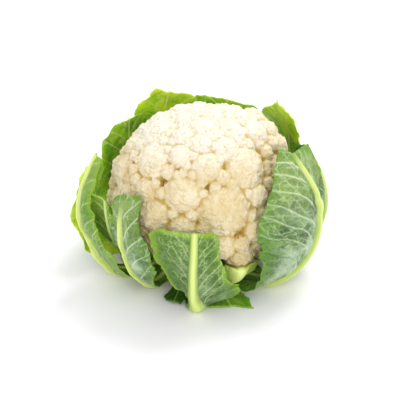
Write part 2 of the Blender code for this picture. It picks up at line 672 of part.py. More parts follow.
def leaf_grid(leaf):
    """Directions, wished radii and the two half thicknesses over the rows and columns of a leaf."""
    shares = np.linspace(0.0, 1.0, leaf["rows"])
    foot = table(leaf["rib_half"], shares, 1)
    high = table(leaf["rib_high"], shares, 1)
    amount, turns, phase = leaf["wave"]
    widths = []
    for k in (1, 2):
        turn = 2.0 * math.pi * EDGE_RIPPLE_TURNS * shares + k + phase * WAVE_PHASE
        rippled = table(leaf["width"], shares, k) * (1.0 + EDGE_RIPPLE * np.sin(turn))
        widths.append(np.maximum(rippled, foot + RIB_SHOULDER))
    edges = [table(leaf["edge"], shares, k) for k in (1, 2)]
    signed = [-c for c in reversed(BLADE_COLUMNS)] + [0.0] * 5 + list(BLADE_COLUMNS)
    middle = len(BLADE_COLUMNS) + 2
    size = (len(shares), len(signed))
    directions = np.zeros((*size, 3))
    wish = np.zeros(size)
    outer = np.zeros(size)
    inner = np.zeros(size)
    for k, c in enumerate(signed):
        own = shares * (1.0 + leaf["slant"] * c) / (1.0 + abs(leaf["slant"]))
        outward, radius, side, lean = leaf_frames(leaf, own)
        hand = -1.0 if k < middle else 1.0
        pick = 0 if k < middle else 1
        near = abs(k - middle)
        blade = 0.5 * BLADE_T / lean
        if near <= 2:
            across = hand * foot * near / 2.0
            bulge = RIB_BULGE[near]
            wish[:, k] = radius
            outer[:, k] = blade + high * bulge / lean
            inner[:, k] = blade + RIB_INSIDE * high * bulge * (1.0 - shares) / lean
        else:
            v = abs(c)
            across = hand * (foot + (widths[pick] - foot) * v)
            sway = amount * np.sin(2.0 * math.pi * (turns * shares + phase + WAVE_SHIFT * hand)) * v * v
            wish[:, k] = radius + edges[pick] * v ** EDGE_CURVE + sway * np.minimum(1.0, shares * WAVE_RISE)
            outer[:, k] = blade
            inner[:, k] = blade
        angle = across / radius
        directions[:, k] = outward * np.cos(angle)[:, None] + side * np.sin(angle)[:, None]
    return directions, wish, outer, inner


def spread_push(push):
    """A push grown over its neighbours and eased, so that a leaf bends and isn't dented."""
    rows, cols = push.shape
    for blend in (np.max, np.mean):
        padded = np.pad(push, 1, mode="edge")
        around = [padded[1 + i:1 + i + rows, 1 + j:1 + j + cols] for i in (-1, 0, 1) for j in (-1, 0, 1)]
        push = blend(around, axis=0)
    return push


def settle(directions, wish, inner, tree, clearance):
    """Radii pushed out until the leaf clears everything already inside it."""
    rows, cols = wish.shape
    needed = np.zeros((rows, cols))
    for i in range(rows):
        for j in range(cols):
            d = directions[i, j]
            first, second = side_pair(d)
            farthest = 0.0
            for step in range(LOOK_SIDES + 1):
                turn = 2.0 * math.pi * step / LOOK_SIDES
                far = 0.0 if step == LOOK_SIDES else LOOK_ROUND / wish[i, j]
                look = d + (first * math.cos(turn) + second * math.sin(turn)) * far
                look = Vector(look).normalized()
                hit = tree.ray_cast(look * FAR, -look)[0]
                if hit is not None:
                    farthest = max(farthest, hit.length)
            needed[i, j] = farthest + clearance + inner[i, j]
    radii = wish.copy()
    for _ in range(SETTLE_ROUNDS):
        push = np.maximum(needed - radii, 0.0)
        if push.max() < SETTLE_DONE:
            break
        radii = radii + np.maximum(spread_push(push) * SETTLE_SPREAD, push * SETTLE_OWN)
    return np.maximum(radii, needed)


def leaf_mesh(directions, radii, outer, inner):
    """Closed points and triangles of one leaf, split alike on both of its faces."""
    rows, cols = radii.shape
    face_out = directions * (radii + outer)[:, :, None]
    face_in = directions * (radii - inner)[:, :, None]
    face_out[:, :, 2] = np.maximum(face_out[:, :, 2], FLOOR_LIFT - CURD_Z)
    face_in[:, :, 2] = np.maximum(face_in[:, :, 2], FLOOR_LIFT + BLADE_T - CURD_Z)
    for face in (face_out, face_in):
        flat = np.linalg.norm(face[0, :, :2], axis=1)
        face[0, :, :2] *= (ROOT_R / flat)[:, None]
    verts = np.concatenate((face_out.reshape(-1, 3), face_in.reshape(-1, 3)))
    half = rows * cols
    faces = []
    for i in range(rows - 1):
        for j in range(cols - 1):
            a = i * cols + j
            b = a + 1
            c = a + cols + 1
            d = a + cols
            cuts = ((a, b, c), (a, c, d)) if (i + j) % 2 else ((a, b, d), (b, c, d))
            for tri in cuts:
                faces.append(tri)
                faces.append(tuple(half + v for v in reversed(tri)))
    border = list(range(cols))
    border += [i * cols + cols - 1 for i in range(1, rows)]
    border += [(rows - 1) * cols + j for j in range(cols - 2, -1, -1)]
    border += [i * cols for i in range(rows - 2, 0, -1)]
    for k, a in enumerate(border):
        b = border[(k + 1) % len(border)]
        faces.append((b, a, half + a))
        faces.append((b, half + a, half + b))
    return verts, faces


def build_leaves(inside_points, inside_faces):
    """Every leaf from the innermost outwards, each one settled over those before it."""
    points = [tuple(p) for p in inside_points]
    faces = [tuple(f) for f in inside_faces]
    for leaf in LEAVES:
        tree = BVHTree.FromPolygons([Vector(p) for p in points], faces)
        directions, wish, outer, inner = leaf_grid(leaf)
        for extra in CLEARANCE_STEPS:
            radii = settle(directions, wish, inner, tree, CLEARANCE + extra)
            verts, tris = leaf_mesh(directions, radii, outer, inner)
            if not tree.overlap(BVHTree.FromPolygons([Vector(p) for p in verts], tris)):
                break
        green = material(leaf["name"] + "_green", leaf["colour"], LEAF_ROUGHNESS)
        add_object(leaf["name"], verts, tris, green, True)
        shift = len(points)
        points += [tuple(p) for p in verts]
        faces += [tuple(v + shift for v in tri) for tri in tris]


clear_scene()
curd_points, curd_faces = build_curd()
build_stalk()
build_leaves(curd_points, curd_faces)
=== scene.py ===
"""Head of cauliflower: a cream curd of florets on a short cut stalk, wrapped by ribbed, veined leaves."""

import logging
import math
from dataclasses import dataclass, field
from enum import Enum

import bmesh
import bpy
import numpy as np
from mathutils import Matrix, Vector
from mathutils.bvhtree import BVHTree
from mathutils.kdtree import KDTree


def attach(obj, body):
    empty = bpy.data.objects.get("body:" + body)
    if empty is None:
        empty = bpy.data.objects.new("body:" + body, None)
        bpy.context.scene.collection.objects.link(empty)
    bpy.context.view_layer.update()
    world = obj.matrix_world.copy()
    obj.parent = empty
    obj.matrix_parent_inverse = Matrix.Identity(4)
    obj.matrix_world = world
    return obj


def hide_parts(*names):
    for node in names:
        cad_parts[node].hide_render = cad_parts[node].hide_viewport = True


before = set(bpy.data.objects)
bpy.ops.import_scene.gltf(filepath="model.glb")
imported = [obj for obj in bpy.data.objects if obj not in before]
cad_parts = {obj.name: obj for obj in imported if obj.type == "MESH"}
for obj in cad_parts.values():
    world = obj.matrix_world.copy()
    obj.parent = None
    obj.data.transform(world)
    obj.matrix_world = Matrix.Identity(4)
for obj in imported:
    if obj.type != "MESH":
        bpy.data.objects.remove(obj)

# Lengths are in millimetres, but metres in the finishes and for all in the studio except lens and sensor
MM = 0.001
CENTRE_Z = 80.0
SEED = 41
FAR = 400.0
GOLDEN = math.pi * (3.0 - math.sqrt(5.0))

# A leaf's grid columns on each side of its rib, and how far out over the blade each one stands
BLADE_COLUMNS = (2.0, 3.0, 4.0, 5.0, 6.0)
BLADE_SHARES = (0.0, 0.27, 0.52, 0.77, 1.0)

# How far the corners of a leaf's tables are rounded, as a share of its length
CORNER_EASE = 0.018

# A blade's thickness, and the leaves on which it is finer
BLADE = 1.05
FINE_BLADE = 0.85
FINE_BLADED = ("leaf_right", "leaf_front", "leaf_front_left")

Triple = tuple[float, float, float]
Colour = Triple
Rows = tuple[tuple[float, ...], ...]
Socket = bpy.types.NodeSocket

log = logging.getLogger("cauliflower")


class Side(Enum):
    """The two halves of a leaf, as seen from outside the head."""

    LEFT = -1.0
    RIGHT = 1.0


class Kind(Enum):
    """What part a leaf plays in the wrap, which sets how green and how waxy it is; sunlit leaves carry
    painted backlight, shaded ones painted shade, and the stub painted light.
    """

    WRAPPER = "wrapper"
    PALE_WRAPPER = "pale wrapper"
    SUNLIT = "sunlit"
    DEEP = "deep"
    FRONT = "front"
    TORN = "torn"
    SHADED = "shaded"
    LIT_STUB = "stub"


# Small helpers for directions and meshes


def heading(azimuth: float, polar: float) -> np.ndarray:
    """Gives a unit vector from the curd's middle.

    Args:
        azimuth: Turn about the upright axis, 0 at the front and positive to the right.
        polar: Angle down from the top.

    Returns:
        The unit vector.
    """
    a = math.radians(azimuth)
    p = math.radians(polar)
    return np.array((math.sin(a) * math.sin(p), -math.cos(a) * math.sin(p), math.cos(p)))


def unit_rows(rows: np.ndarray) -> np.ndarray:
    """Scales each row to length one."""
    return rows / np.linalg.norm(rows, axis=-1, keepdims=True)


def even_directions(count: int) -> np.ndarray:
    """Spreads directions evenly over a ball along a golden spiral.

    Args:
        count: How many directions.

    Returns:
        One unit vector a row.
    """
    k = np.arange(count)
    z = 1.0 - (2.0 * k + 1.0) / count
    ring = np.sqrt(1.0 - z * z)
    return np.stack((ring * np.cos(k * GOLDEN), ring * np.sin(k * GOLDEN), z), axis=1)


def side_pair(axis: np.ndarray) -> tuple[np.ndarray, np.ndarray]:
    """Gives two unit vectors square to an axis and to each other.

    Args:
        axis: A unit vector.

    Returns:
        The two vectors.
    """
    helper = np.array((0.0, 0.0, 1.0)) if abs(axis[2]) < 0.9 else np.array((1.0, 0.0, 0.0))
    first = np.cross(helper, axis)
    first = first / np.linalg.norm(first)
    return first, np.cross(axis, first)


def fine_ball(parts: int, crowd: float) -> tuple[np.ndarray, np.ndarray]:
    """Splits a ball into small, nearly even triangles, closer together on its upper part.

    Args:
        parts: Splits along each edge of the twenty starting faces.
        crowd: Share of the points that go to the upper three quarters.

    Returns:
        Directions, and triangles as rows of three indices.
    """
    bm = bmesh.new()
    bmesh.ops.create_icosphere(bm, subdivisions=1, radius=1.0)
    corners = [[np.array(v.co[:]) for v in f.verts] for f in bm.faces]
    bm.free()
    i, j = np.meshgrid(np.arange(parts + 1), np.arange(parts + 1), indexing="ij")
    inside = i + j <= parts
    number = -np.ones(i.shape, int)
    number[inside] = np.arange(inside.sum())
    i, j = i[inside][:, None], j[inside][:, None]
    a, b, c = number[:-1, :-1], number[1:, :-1], number[:-1, 1:]
    d = number[1:, 1:]
    up = np.stack((a, b, c), axis=-1)[(b >= 0) & (c >= 0)]
    down = np.stack((b, d, c), axis=-1)[(b >= 0) & (c >= 0) & (d >= 0)]
    tris = np.concatenate((up, down))
    points, faces = [], []
    for k, (p, q, r) in enumerate(corners):
        points.append((p * (parts - i - j) + q * i + r * j) / parts)
        faces.append(tris + k * len(i))
    rows = np.concatenate(points)
    _, first, back = np.unique(np.round(rows, 5), axis=0, return_index=True, return_inverse=True)
    directions = unit_rows(rows[first])
    share = (1.0 - directions[:, 2]) / 2.0
    share = np.interp(share, (0.0, crowd, 1.0), (0.0, 0.75, 1.0))
    z = 1.0 - 2.0 * share
    ring = np.sqrt(np.maximum(1.0 - z * z, 0.0))
    flat = np.linalg.norm(directions[:, :2], axis=1)
    flat = np.where(flat < 1e-9, 1.0, flat)
    directions = np.column_stack((directions[:, 0] / flat * ring, directions[:, 1] / flat * ring, z))
    return directions, back.reshape(-1)[np.concatenate(faces)]


def search_tree(points: np.ndarray) -> KDTree:
    """Builds a tree that finds the nearest of some points.

    Args:
        points: Rows of three coordinates.

    Returns:
        The search tree.
    """
    tree = KDTree(len(points))
    for k, point in enumerate(points):
        tree.insert(Vector(point), k)
    tree.balance()
    return tree


def halved(quads: np.ndarray) -> np.ndarray:
    """Splits faces of four corners into triangles."""
    return np.concatenate((quads[:, :3], quads[:, (0, 2, 3)]))


def smooth_step(low: float, high: float, value: np.ndarray) -> np.ndarray:
    """Rises smoothly from 0 at low to 1 at high."""
    t = np.clip((value - low) / (high - low), 0.0, 1.0)
    return t * t * (3.0 - 2.0 * t)


@dataclass(frozen=True)
class Ripples:
    """Seeded smooth ripples of about one wavelength, through space or over a flat sheet."""

    seed: int
    wavelength: float
    count: int = 12

    def at(self, points: np.ndarray) -> np.ndarray:
        """Gives the height of the ripples at points.

        Args:
            points: Rows of two or three coordinates, in millimetres.

        Returns:
            One height a point, mostly between -1 and 1.
        """
        rng = np.random.default_rng(self.seed)
        turns = unit_rows(rng.normal(size=(self.count, points.shape[-1])))
        pace = 2.0 * math.pi / (self.wavelength * rng.uniform(0.65, 1.5, self.count))
        start = rng.uniform(0.0, 2.0 * math.pi, self.count)
        total = np.zeros(points.shape[:-1])
        for turn, speed, phase in zip(turns, pace, start):
            total += np.sin(points @ turn * speed + phase)
        return total / math.sqrt(self.count)


def eased(values: np.ndarray, links: np.ndarray, rounds: int) -> np.ndarray:
    """Averages a value over neighbouring points again and again.

    Args:
        values: One value a point.
        links: Pairs of neighbouring points.
        rounds: How many times.

    Returns:
        The eased values.
    """
    size = len(values)
    near = np.bincount(links.ravel(), minlength=size)
    for _ in range(rounds):
        total = np.bincount(links[:, 0], weights=values[links[:, 1]], minlength=size)
        total += np.bincount(links[:, 1], weights=values[links[:, 0]], minlength=size)
        values = 0.5 * values + 0.5 * total / near
    return values


@dataclass
class Shape:
    """A closed mesh and the values painted on its points, before it becomes a piece."""

    points: np.ndarray
    faces: np.ndarray
    paint: dict[str, np.ndarray] = field(default_factory=dict)

    def piece(self, name: str, node: str, finish: bpy.types.Material) -> bpy.types.Object:
        """Makes the scene's piece, which rides on the part and stands for one CAD node.

        Args:
            name: The piece's name.
            node: The CAD node that it replaces.
            finish: Its material.

        Returns:
            The new object.
        """
        mesh = bpy.data.meshes.new(name)
        placed = (self.points + np.array((0.0, 0.0, CENTRE_Z))) * MM
        mesh.from_pydata(placed.tolist(), [], self.faces.tolist())
        mesh.update()
        for key, values in self.paint.items():
            if values.ndim == 1:
                layer = mesh.attributes.new(key, "FLOAT", "POINT")
                layer.data.foreach_set("value", values.astype(np.float32))
            else:
                layer = mesh.attributes.new(key, "FLOAT_VECTOR", "POINT")
                layer.data.foreach_set("vector", values.astype(np.float32).ravel())
        mesh.shade_smooth()
        mesh.materials.append(finish)
        obj = bpy.data.objects.new(name, mesh)
        bpy.context.scene.collection.objects.link(obj)
        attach(obj, "root")
        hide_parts(node)
        return obj

    def tree(self) -> BVHTree:
        """Builds the search tree that later leaves are kept clear of."""
        return BVHTree.FromPolygons(self.points.tolist(), self.faces.tolist())


# Materials


class Desk:
    """Lays out and links the nodes of one shader tree."""

    def __init__(self, tree: bpy.types.NodeTree) -> None:
        """Takes the tree to work on."""
        self.tree = tree
        self.column = 0

    def node(self, kind: str, **settings: object) -> bpy.types.Node:
        """Adds a node and sets its plain settings.

        Args:
            kind: The node's type.
            settings: Its settings by name.

        Returns:
            The node.
        """
        made = self.tree.nodes.new(kind)
        made.location = (220 * (self.column % 12), -240 * (self.column // 12))
        self.column += 1
        for key, value in settings.items():
            setattr(made, key, value)
        return made

    def feed(self, socket: Socket, value: object) -> None:
        """Links a socket to an output, or sets it to a plain value.

        Args:
            socket: The socket to feed.
            value: An output, a number or a colour.
        """
        if isinstance(value, Socket):
            self.tree.links.new(value, socket)
        elif isinstance(value, tuple) and len(value) == 3 and socket.type == "RGBA":
            socket.default_value = (*value, 1.0)
        else:
            socket.default_value = value

    def fed(self, kind: str, *values: object, **settings: object) -> bpy.types.Node:
        """Adds a node and feeds its first inputs in order.

        Args:
            kind: The node's type.
            values: What the inputs take.
            settings: The node's settings by name.

        Returns:
            The node.
        """
        made = self.node(kind, **settings)
        for socket, value in zip(made.inputs, values):
            self.feed(socket, value)
        return made

    def attribute(self, name: str, vector: bool = False) -> Socket:
        """Reads a value painted on the mesh."""
        made = self.node("ShaderNodeAttribute", attribute_name=name)
        return made.outputs["Vector" if vector else "Fac"]

    def math(self, kind: str, a: object, b: object) -> Socket:
        """Adds one sum of two values."""
        return self.fed("ShaderNodeMath", a, b, operation=kind).outputs[0]

    def scale(self, value: object, low: object, high: object, start: float = 0.0, end: float = 1.0) -> Socket:
        """Maps low to start and high to end with an eased curve between them."""
        kind = "ShaderNodeMapRange"
        return self.fed(kind, value, low, high, start, end, interpolation_type="SMOOTHSTEP").outputs[0]

    def mix(self, share: object, a: object, b: object) -> Socket:
        """Blends two colours.

        Args:
            share: How much of the second one shows.
            a: The first colour.
            b: The second colour.

        Returns:
            The blend.
        """
        made = self.node("ShaderNodeMix", data_type="RGBA")
        for key, value in (("Factor", share), (6, a), (7, b)):
            self.feed(made.inputs[key], value)
        return made.outputs[2]

    def coats(self, body: Socket, *coats: tuple[Socket, Colour]) -> Socket:
        """Lays coats of colour over a body.

        Args:
            body: The colour beneath.
            coats: The share that each coat covers, and its colour.

        Returns:
            The colour that shows.
        """
        for share, colour in coats:
            body = self.mix(share, body, colour)
        return body

    def wired(self, made: bpy.types.Node, values: dict[str, object]) -> bpy.types.NodeOutputs:
        """Feeds a node's named inputs.

        Args:
            made: The node.
            values: What each input takes.

        Returns:
            The node's outputs.
        """
        for key, value in values.items():
            self.feed(made.inputs[key], value)
        return made.outputs

    def noise(self, vector: object, scale: object, detail: float = 3.0, rough: float = 0.55) -> Socket:
        """Adds cloudy noise and gives its value."""
        values = {"Vector": vector, "Scale": scale, "Detail": detail, "Roughness": rough}
        return self.wired(self.node("ShaderNodeTexNoise"), values)[0]

    def cells(self, vector: object, scale: object, feature: str = "DISTANCE_TO_EDGE") -> Socket:
        """Adds a cell pattern and gives its distance."""
        made = self.node("ShaderNodeTexVoronoi", feature=feature)
        return self.wired(made, {"Vector": vector, "Scale": scale})["Distance"]

    def warp(self, vector: object, scale: float, amount: float) -> Socket:
        """Bends coordinates with noise so that a pattern on them looks grown.

        Args:
            vector: The coordinates.
            scale: The noise's scale.
            amount: How far it bends them.

        Returns:
            The bent coordinates.
        """
        cloud = self.wired(self.node("ShaderNodeTexNoise"), {"Vector": vector, "Scale": scale})["Color"]
        away = self.fed("ShaderNodeVectorMath", cloud, operation="SCALE")
        away.inputs["Scale"].default_value = amount
        return self.fed("ShaderNodeVectorMath", vector, away.outputs[0], operation="ADD").outputs[0]

    def group(self, tree: bpy.types.NodeTree, values: dict[str, object]) -> bpy.types.NodeOutputs:
        """Places a shared effect, feeds its named inputs and gives its outputs."""
        return self.wired(self.node("ShaderNodeGroup", node_tree=tree), values)

    def surface(self, shader: bpy.types.Node, colour: Socket, rough: Socket, height: Socket, strength: float,
                distance: float) -> None:
        """Feeds a shader its colour and roughness, and its relief.

        Args:
            shader: The Principled shader.
            colour: Its colour.
            rough: Its roughness.
            height: The height of its relief.
            strength: The relief's strength.
            distance: The relief's depth in metres.
        """
        self.feed(shader.inputs["Base Color"], colour)
        self.feed(shader.inputs["Roughness"], rough)
        values = {"Strength": strength, "Distance": distance, "Height": height}
        self.feed(shader.inputs["Normal"], self.wired(self.node("ShaderNodeBump"), values)[0])


class SharedEffects:
    """The effects that several materials use, each built once."""

    def __init__(self) -> None:
        """Builds every group."""
        self.mottle = self._mottle()
        self.network = self._network()
        self.fibre = self._fibre()

    @staticmethod
    def _start(name: str, takes: dict[str, float], gives: tuple[str, ...],
               ) -> tuple[bpy.types.NodeTree, Desk, bpy.types.NodeOutputs, bpy.types.NodeInputs]:
        """Opens a group that takes coordinates and plain values and gives values.

        Args:
            name: The group's name.
            takes: The plain value of each input besides the coordinates.
            gives: The names of its outputs.

        Returns:
            The tree, its desk, the sockets it is given and the sockets it gives.
        """
        tree = bpy.data.node_groups.new(name, "ShaderNodeTree")
        add = tree.interface.new_socket
        add("Coordinates", in_out="INPUT", socket_type="NodeSocketVector")
        for label, value in takes.items():
            add(label, in_out="INPUT", socket_type="NodeSocketFloat").default_value = value
        for label in gives:
            add(label, in_out="OUTPUT", socket_type="NodeSocketFloat")
        desk = Desk(tree)
        return tree, desk, desk.node("NodeGroupInput").outputs, desk.node("NodeGroupOutput").inputs

    def _mottle(self) -> bpy.types.NodeTree:
        """Cloudy patches with finer flecks, as on any grown skin.

        Returns:
            The group's tree.
        """
        takes = {"Patch Scale": 60.0, "Fleck Scale": 700.0}
        tree, desk, given, gives = self._start("grown mottle", takes, ("Patches", "Flecks"))
        patches = desk.noise(given["Coordinates"], given["Patch Scale"], 4.0, 0.6)
        flecks = desk.noise(given["Coordinates"], given["Fleck Scale"], 2.0, 0.5)
        desk.feed(gives["Patches"], desk.scale(patches, 0.34, 0.66))
        desk.feed(gives["Flecks"], desk.scale(flecks, 0.36, 0.64))
        return tree

    def _network(self) -> bpy.types.NodeTree:
        """The finest veins, which close into small cells between the side veins.

        Returns:
            The group's tree.
        """
        takes = {"Cell Scale": 0.16, "Line": 0.06}
        tree, desk, given, gives = self._start("vein network", takes, ("Lines", "Fine Lines", "Cushion"))
        bent = desk.warp(given["Coordinates"], 0.12, 4.5)
        large = desk.cells(bent, given["Cell Scale"])
        small = desk.cells(bent, desk.math("MULTIPLY", given["Cell Scale"], 2.6))
        desk.feed(gives["Lines"], desk.scale(large, 0.0, given["Line"], 1.0, 0.0))
        desk.feed(gives["Fine Lines"], desk.scale(small, 0.0, given["Line"], 1.0, 0.0))
        both = desk.math("ADD", large, desk.math("MULTIPLY", small, 0.5))
        desk.feed(gives["Cushion"], desk.scale(both, 0.0, 0.7))
        return tree

    def _fibre(self) -> bpy.types.NodeTree:
        """Long streaks that run with the grain of a rib or the stalk.

        Returns:
            The group's tree.
        """
        takes = {"Across": 1.4, "Along": 0.05}
        tree, desk, given, gives = self._start("rib fibre", takes, ("Streaks", "Height"))
        split = desk.fed("ShaderNodeSeparateXYZ", given["Coordinates"]).outputs
        paces = (given["Across"], given["Along"], given["Across"])
        drawn = [desk.math("MULTIPLY", part, pace) for part, pace in zip(split, paces)]
        streaks = desk.noise(desk.fed("ShaderNodeCombineXYZ", *drawn).outputs[0], 1.0, 3.0, 0.6)
        desk.feed(gives["Streaks"], desk.scale(streaks, 0.34, 0.66))
        desk.feed(gives["Height"], streaks)
        return tree


def new_material(name: str) -> tuple[bpy.types.Material, Desk, bpy.types.Node]:
    """Starts a material.

    Args:
        name: Its name.

    Returns:
        The material, the desk for its nodes and its Principled shader.
    """
    made = bpy.data.materials.new(name)
    made.use_nodes = True
    return made, Desk(made.node_tree), made.node_tree.nodes["Principled BSDF"]


def let_light_in(shader: bpy.types.Node, weight: float, colour: Colour, depth: float, gloss: float) -> None:
    """Sets how light sinks into a grown skin and how it shines.

    Args:
        shader: The Principled shader.
        weight: Share of the light that sinks in.
        colour: How far each colour spreads, as a share of the depth.
        depth: The depth in metres.
        gloss: Strength of the shine.
    """
    shader.inputs["Subsurface Weight"].default_value = weight
    shader.inputs["Subsurface Radius"].default_value = colour
    shader.inputs["Subsurface Scale"].default_value = depth
    shader.inputs["Specular IOR Level"].default_value = gloss


@dataclass(frozen=True)
class CurdFinish:
    """Matt cream curd, with painted light that makes the crown whiter and yellow-brown painted shade where
    the florets meet, in the dips on them and towards the bottom.
    """

    cream: Colour = (0.75, 0.62, 0.385)
    ivory: Colour = (0.88, 0.79, 0.60)
    # Painted light: the whiter colour laid over the top of the head
    crown: Colour = (0.93, 0.885, 0.79)
    # Painted shade in the crevices and dips, darker still in the deepest crevices
    ochre_shade: Colour = (0.60, 0.385, 0.065)
    umber_shade: Colour = (0.30, 0.16, 0.03)
    # The curd's own flecks, and painted shade towards the bottom and between the granules
    straw_fleck_and_shade: Colour = (0.70, 0.55, 0.22)
    roughness: float = 0.62
    glow: float = 0.12

    def material(self, shared: SharedEffects) -> bpy.types.Material:
        """Builds the material from the shared effects and the depths painted on the mesh, laying painted
        shade in the dips and painted light on the crown.

        Args:
            shared: The shared effects.

        Returns:
            The material.
        """
        made, desk, shader = new_material("curd_cream")
        place = desk.node("ShaderNodeTexCoord").outputs["Object"]
        mottle = desk.group(shared.mottle, {"Coordinates": place, "Patch Scale": 42.0, "Fleck Scale": 900.0})
        flecks = mottle["Flecks"]
        # Painted light and shade: the top is painted whiter; yellow-brown painted shade fills the crevices,
        # the dips on the florets, the pits and the gaps between granules, weaker on the top; a yellowish
        # painted shade lies towards the bottom. The flecks are the curd's own tone.
        crown = desk.attribute("crown")
        crevice_shade = desk.math("MULTIPLY", desk.attribute("crevice_shade"), desk.scale(crown, 0.45, 1.0, 1.0, 0.30))
        hollow_shade = desk.math("MULTIPLY", desk.attribute("hollow_shade"), desk.scale(crown, 0.45, 1.0, 1.0, 0.45))
        grains = desk.cells(place, 600.0, "SMOOTH_F1")
        faint = desk.scale(crown, 0.3, 1.0, 1.0, 0.35)
        body = desk.coats(
            desk.mix(mottle["Patches"], self.cream, self.ivory),
            (desk.scale(crown, 0.35, 1.0, 0.0, 0.9), self.crown),
            (desk.attribute("shoulder_shade"), self.straw_fleck_and_shade),
            (desk.scale(desk.attribute("pit_shade"), 0.1, 1.3, 0.0, 0.55), self.straw_fleck_and_shade),
            (desk.scale(hollow_shade, 0.3, 1.3, 0.0, 0.52), self.ochre_shade),
            (desk.scale(crevice_shade, 0.42, 1.0, 0.0, 0.9), self.ochre_shade),
            (desk.scale(crevice_shade, 0.78, 1.5, 0.0, 0.78), self.umber_shade),
            (desk.math("MULTIPLY", desk.scale(grains, 0.30, 0.72, 0.0, 0.34), faint), self.straw_fleck_and_shade),
            (desk.scale(flecks, 0.62, 1.0, 0.0, 0.22), self.straw_fleck_and_shade),
        )
        rough = desk.scale(flecks, 0.0, 1.0, self.roughness - 0.08, self.roughness + 0.1)
        height = desk.math("SUBTRACT", desk.noise(place, 1500.0, 2.0), desk.math("MULTIPLY", grains, 1.6))
        desk.surface(shader, body, rough, height, 0.8, 0.0007)
        let_light_in(shader, self.glow, (1.0, 0.7, 0.35), 0.003, 0.3)
        return made


@dataclass(frozen=True)
class LeafFinish:
    """A leaf: waxy green outside with a painted sheen, deeper green inside, with pale ribs and veins and a
    painted highlight along the top of the rib.
    """

    outer_dark: Colour = (0.062, 0.150, 0.022)
    outer_light: Colour = (0.145, 0.285, 0.050)
    inner_dark: Colour = (0.055, 0.165, 0.004)
    inner_light: Colour = (0.16, 0.33, 0.012)
    # The leaf's waxy coat, with a painted sheen of reflected light over it
    bloom_and_sheen: Colour = (0.30, 0.43, 0.21)
    bloom_and_sheen_share: float = 0.35
    vein: Colour = (0.55, 0.68, 0.30)
    # The rib's own pale colour, also a painted highlight along its top; the greener colour is also painted
    # shade on its sides
    rib_pale: Colour = (0.68, 0.78, 0.23)
    rib_green: Colour = (0.40, 0.54, 0.10)
    rib_streak: Colour = (0.76, 0.82, 0.42)
    margin: Colour = (0.22, 0.37, 0.035)
    tip: Colour = (0.26, 0.38, 0.06)
    roughness: float = 0.42
    glow: float = 0.18
    masks: tuple[str, ...] = ("vein", "branch", "rib", "along", "inside", "margin", "out", "crest_highlight")

    def material(self, name: str, shared: SharedEffects) -> bpy.types.Material:
        """Builds the leaf's material.

        Args:
            name: The material's name.
            shared: The shared effects.

        Returns:
            The material.
        """
        made, desk, shader = new_material(name)
        flat = desk.attribute("flat", vector=True)
        vein, branch, rib, along, inside, margin, out, crest_highlight = (desk.attribute(key) for key in self.masks)
        mottle = desk.group(shared.mottle, {"Coordinates": flat, "Patch Scale": 0.055, "Fleck Scale": 0.9})
        net = desk.group(shared.network, {"Coordinates": flat, "Cell Scale": 0.17, "Line": 0.10})
        fibre = desk.group(shared.fibre, {"Coordinates": flat, "Across": 1.1, "Along": 0.035})
        # The leaf's own waxy coat, laid thicker low on the leaf and away from its edges as a painted sheen of
        # reflected light
        wax_and_sheen = desk.scale(desk.noise(flat, 0.035, 3.0), 0.40, 0.62, 0.1 * self.bloom_and_sheen_share, self.bloom_and_sheen_share)
        wax_and_sheen = desk.math("MULTIPLY", wax_and_sheen, desk.scale(along, 0.45, 0.85, 1.25, 0.35))
        wax_and_sheen = desk.math("MULTIPLY", wax_and_sheen, desk.scale(out, 0.25, 0.95, 1.15, 0.3))
        outer = desk.coats(
            desk.mix(mottle["Patches"], self.outer_dark, self.outer_light),
            (wax_and_sheen, self.bloom_and_sheen),
            (desk.scale(along, 0.68, 0.98, 0.0, 0.7), self.tip),
        )
        inner = desk.mix(mottle["Patches"], self.inner_dark, self.inner_light)
        blade = desk.coats(
            desk.mix(inside, outer, inner),
            (desk.math("MULTIPLY", net["Fine Lines"], 0.06), self.vein),
            (desk.math("MULTIPLY", net["Lines"], 0.14), self.vein),
            (desk.scale(margin, 0.15, 1.0, 0.0, 0.72), self.margin),
            (desk.math("MULTIPLY", branch, 0.5), self.vein),
            (desk.math("MULTIPLY", vein, 0.85), self.vein),
        )
        # Painted highlight along the top of the rib, with painted shade on its greener sides; the rib also
        # grows paler towards the tip
        pale = desk.math("MAXIMUM", crest_highlight, desk.scale(along, 0.55, 0.9, 0.0, 0.7))
        streaks = desk.scale(fibre["Streaks"], 0.45, 1.0, 0.0, 0.38)
        ribbing = desk.coats(desk.mix(pale, self.rib_green, self.rib_pale), (streaks, self.rib_streak))
        rough = desk.scale(mottle["Flecks"], 0.0, 1.0, self.roughness - 0.08, self.roughness + 0.12)
        puffed = desk.math("ADD", net["Cushion"], desk.math("MULTIPLY", desk.noise(flat, 1.3, 3.0), 0.35))
        puffed = desk.math("MULTIPLY", puffed, desk.math("SUBTRACT", 1.0, rib))
        height = desk.math("ADD", puffed, desk.math("MULTIPLY", fibre["Height"], rib))
        desk.surface(shader, desk.mix(rib, blade, ribbing), rough, height, 0.5, 0.0006)
        let_light_in(shader, self.glow, (0.5, 1.0, 0.12), 0.0018, 0.28)
        return made


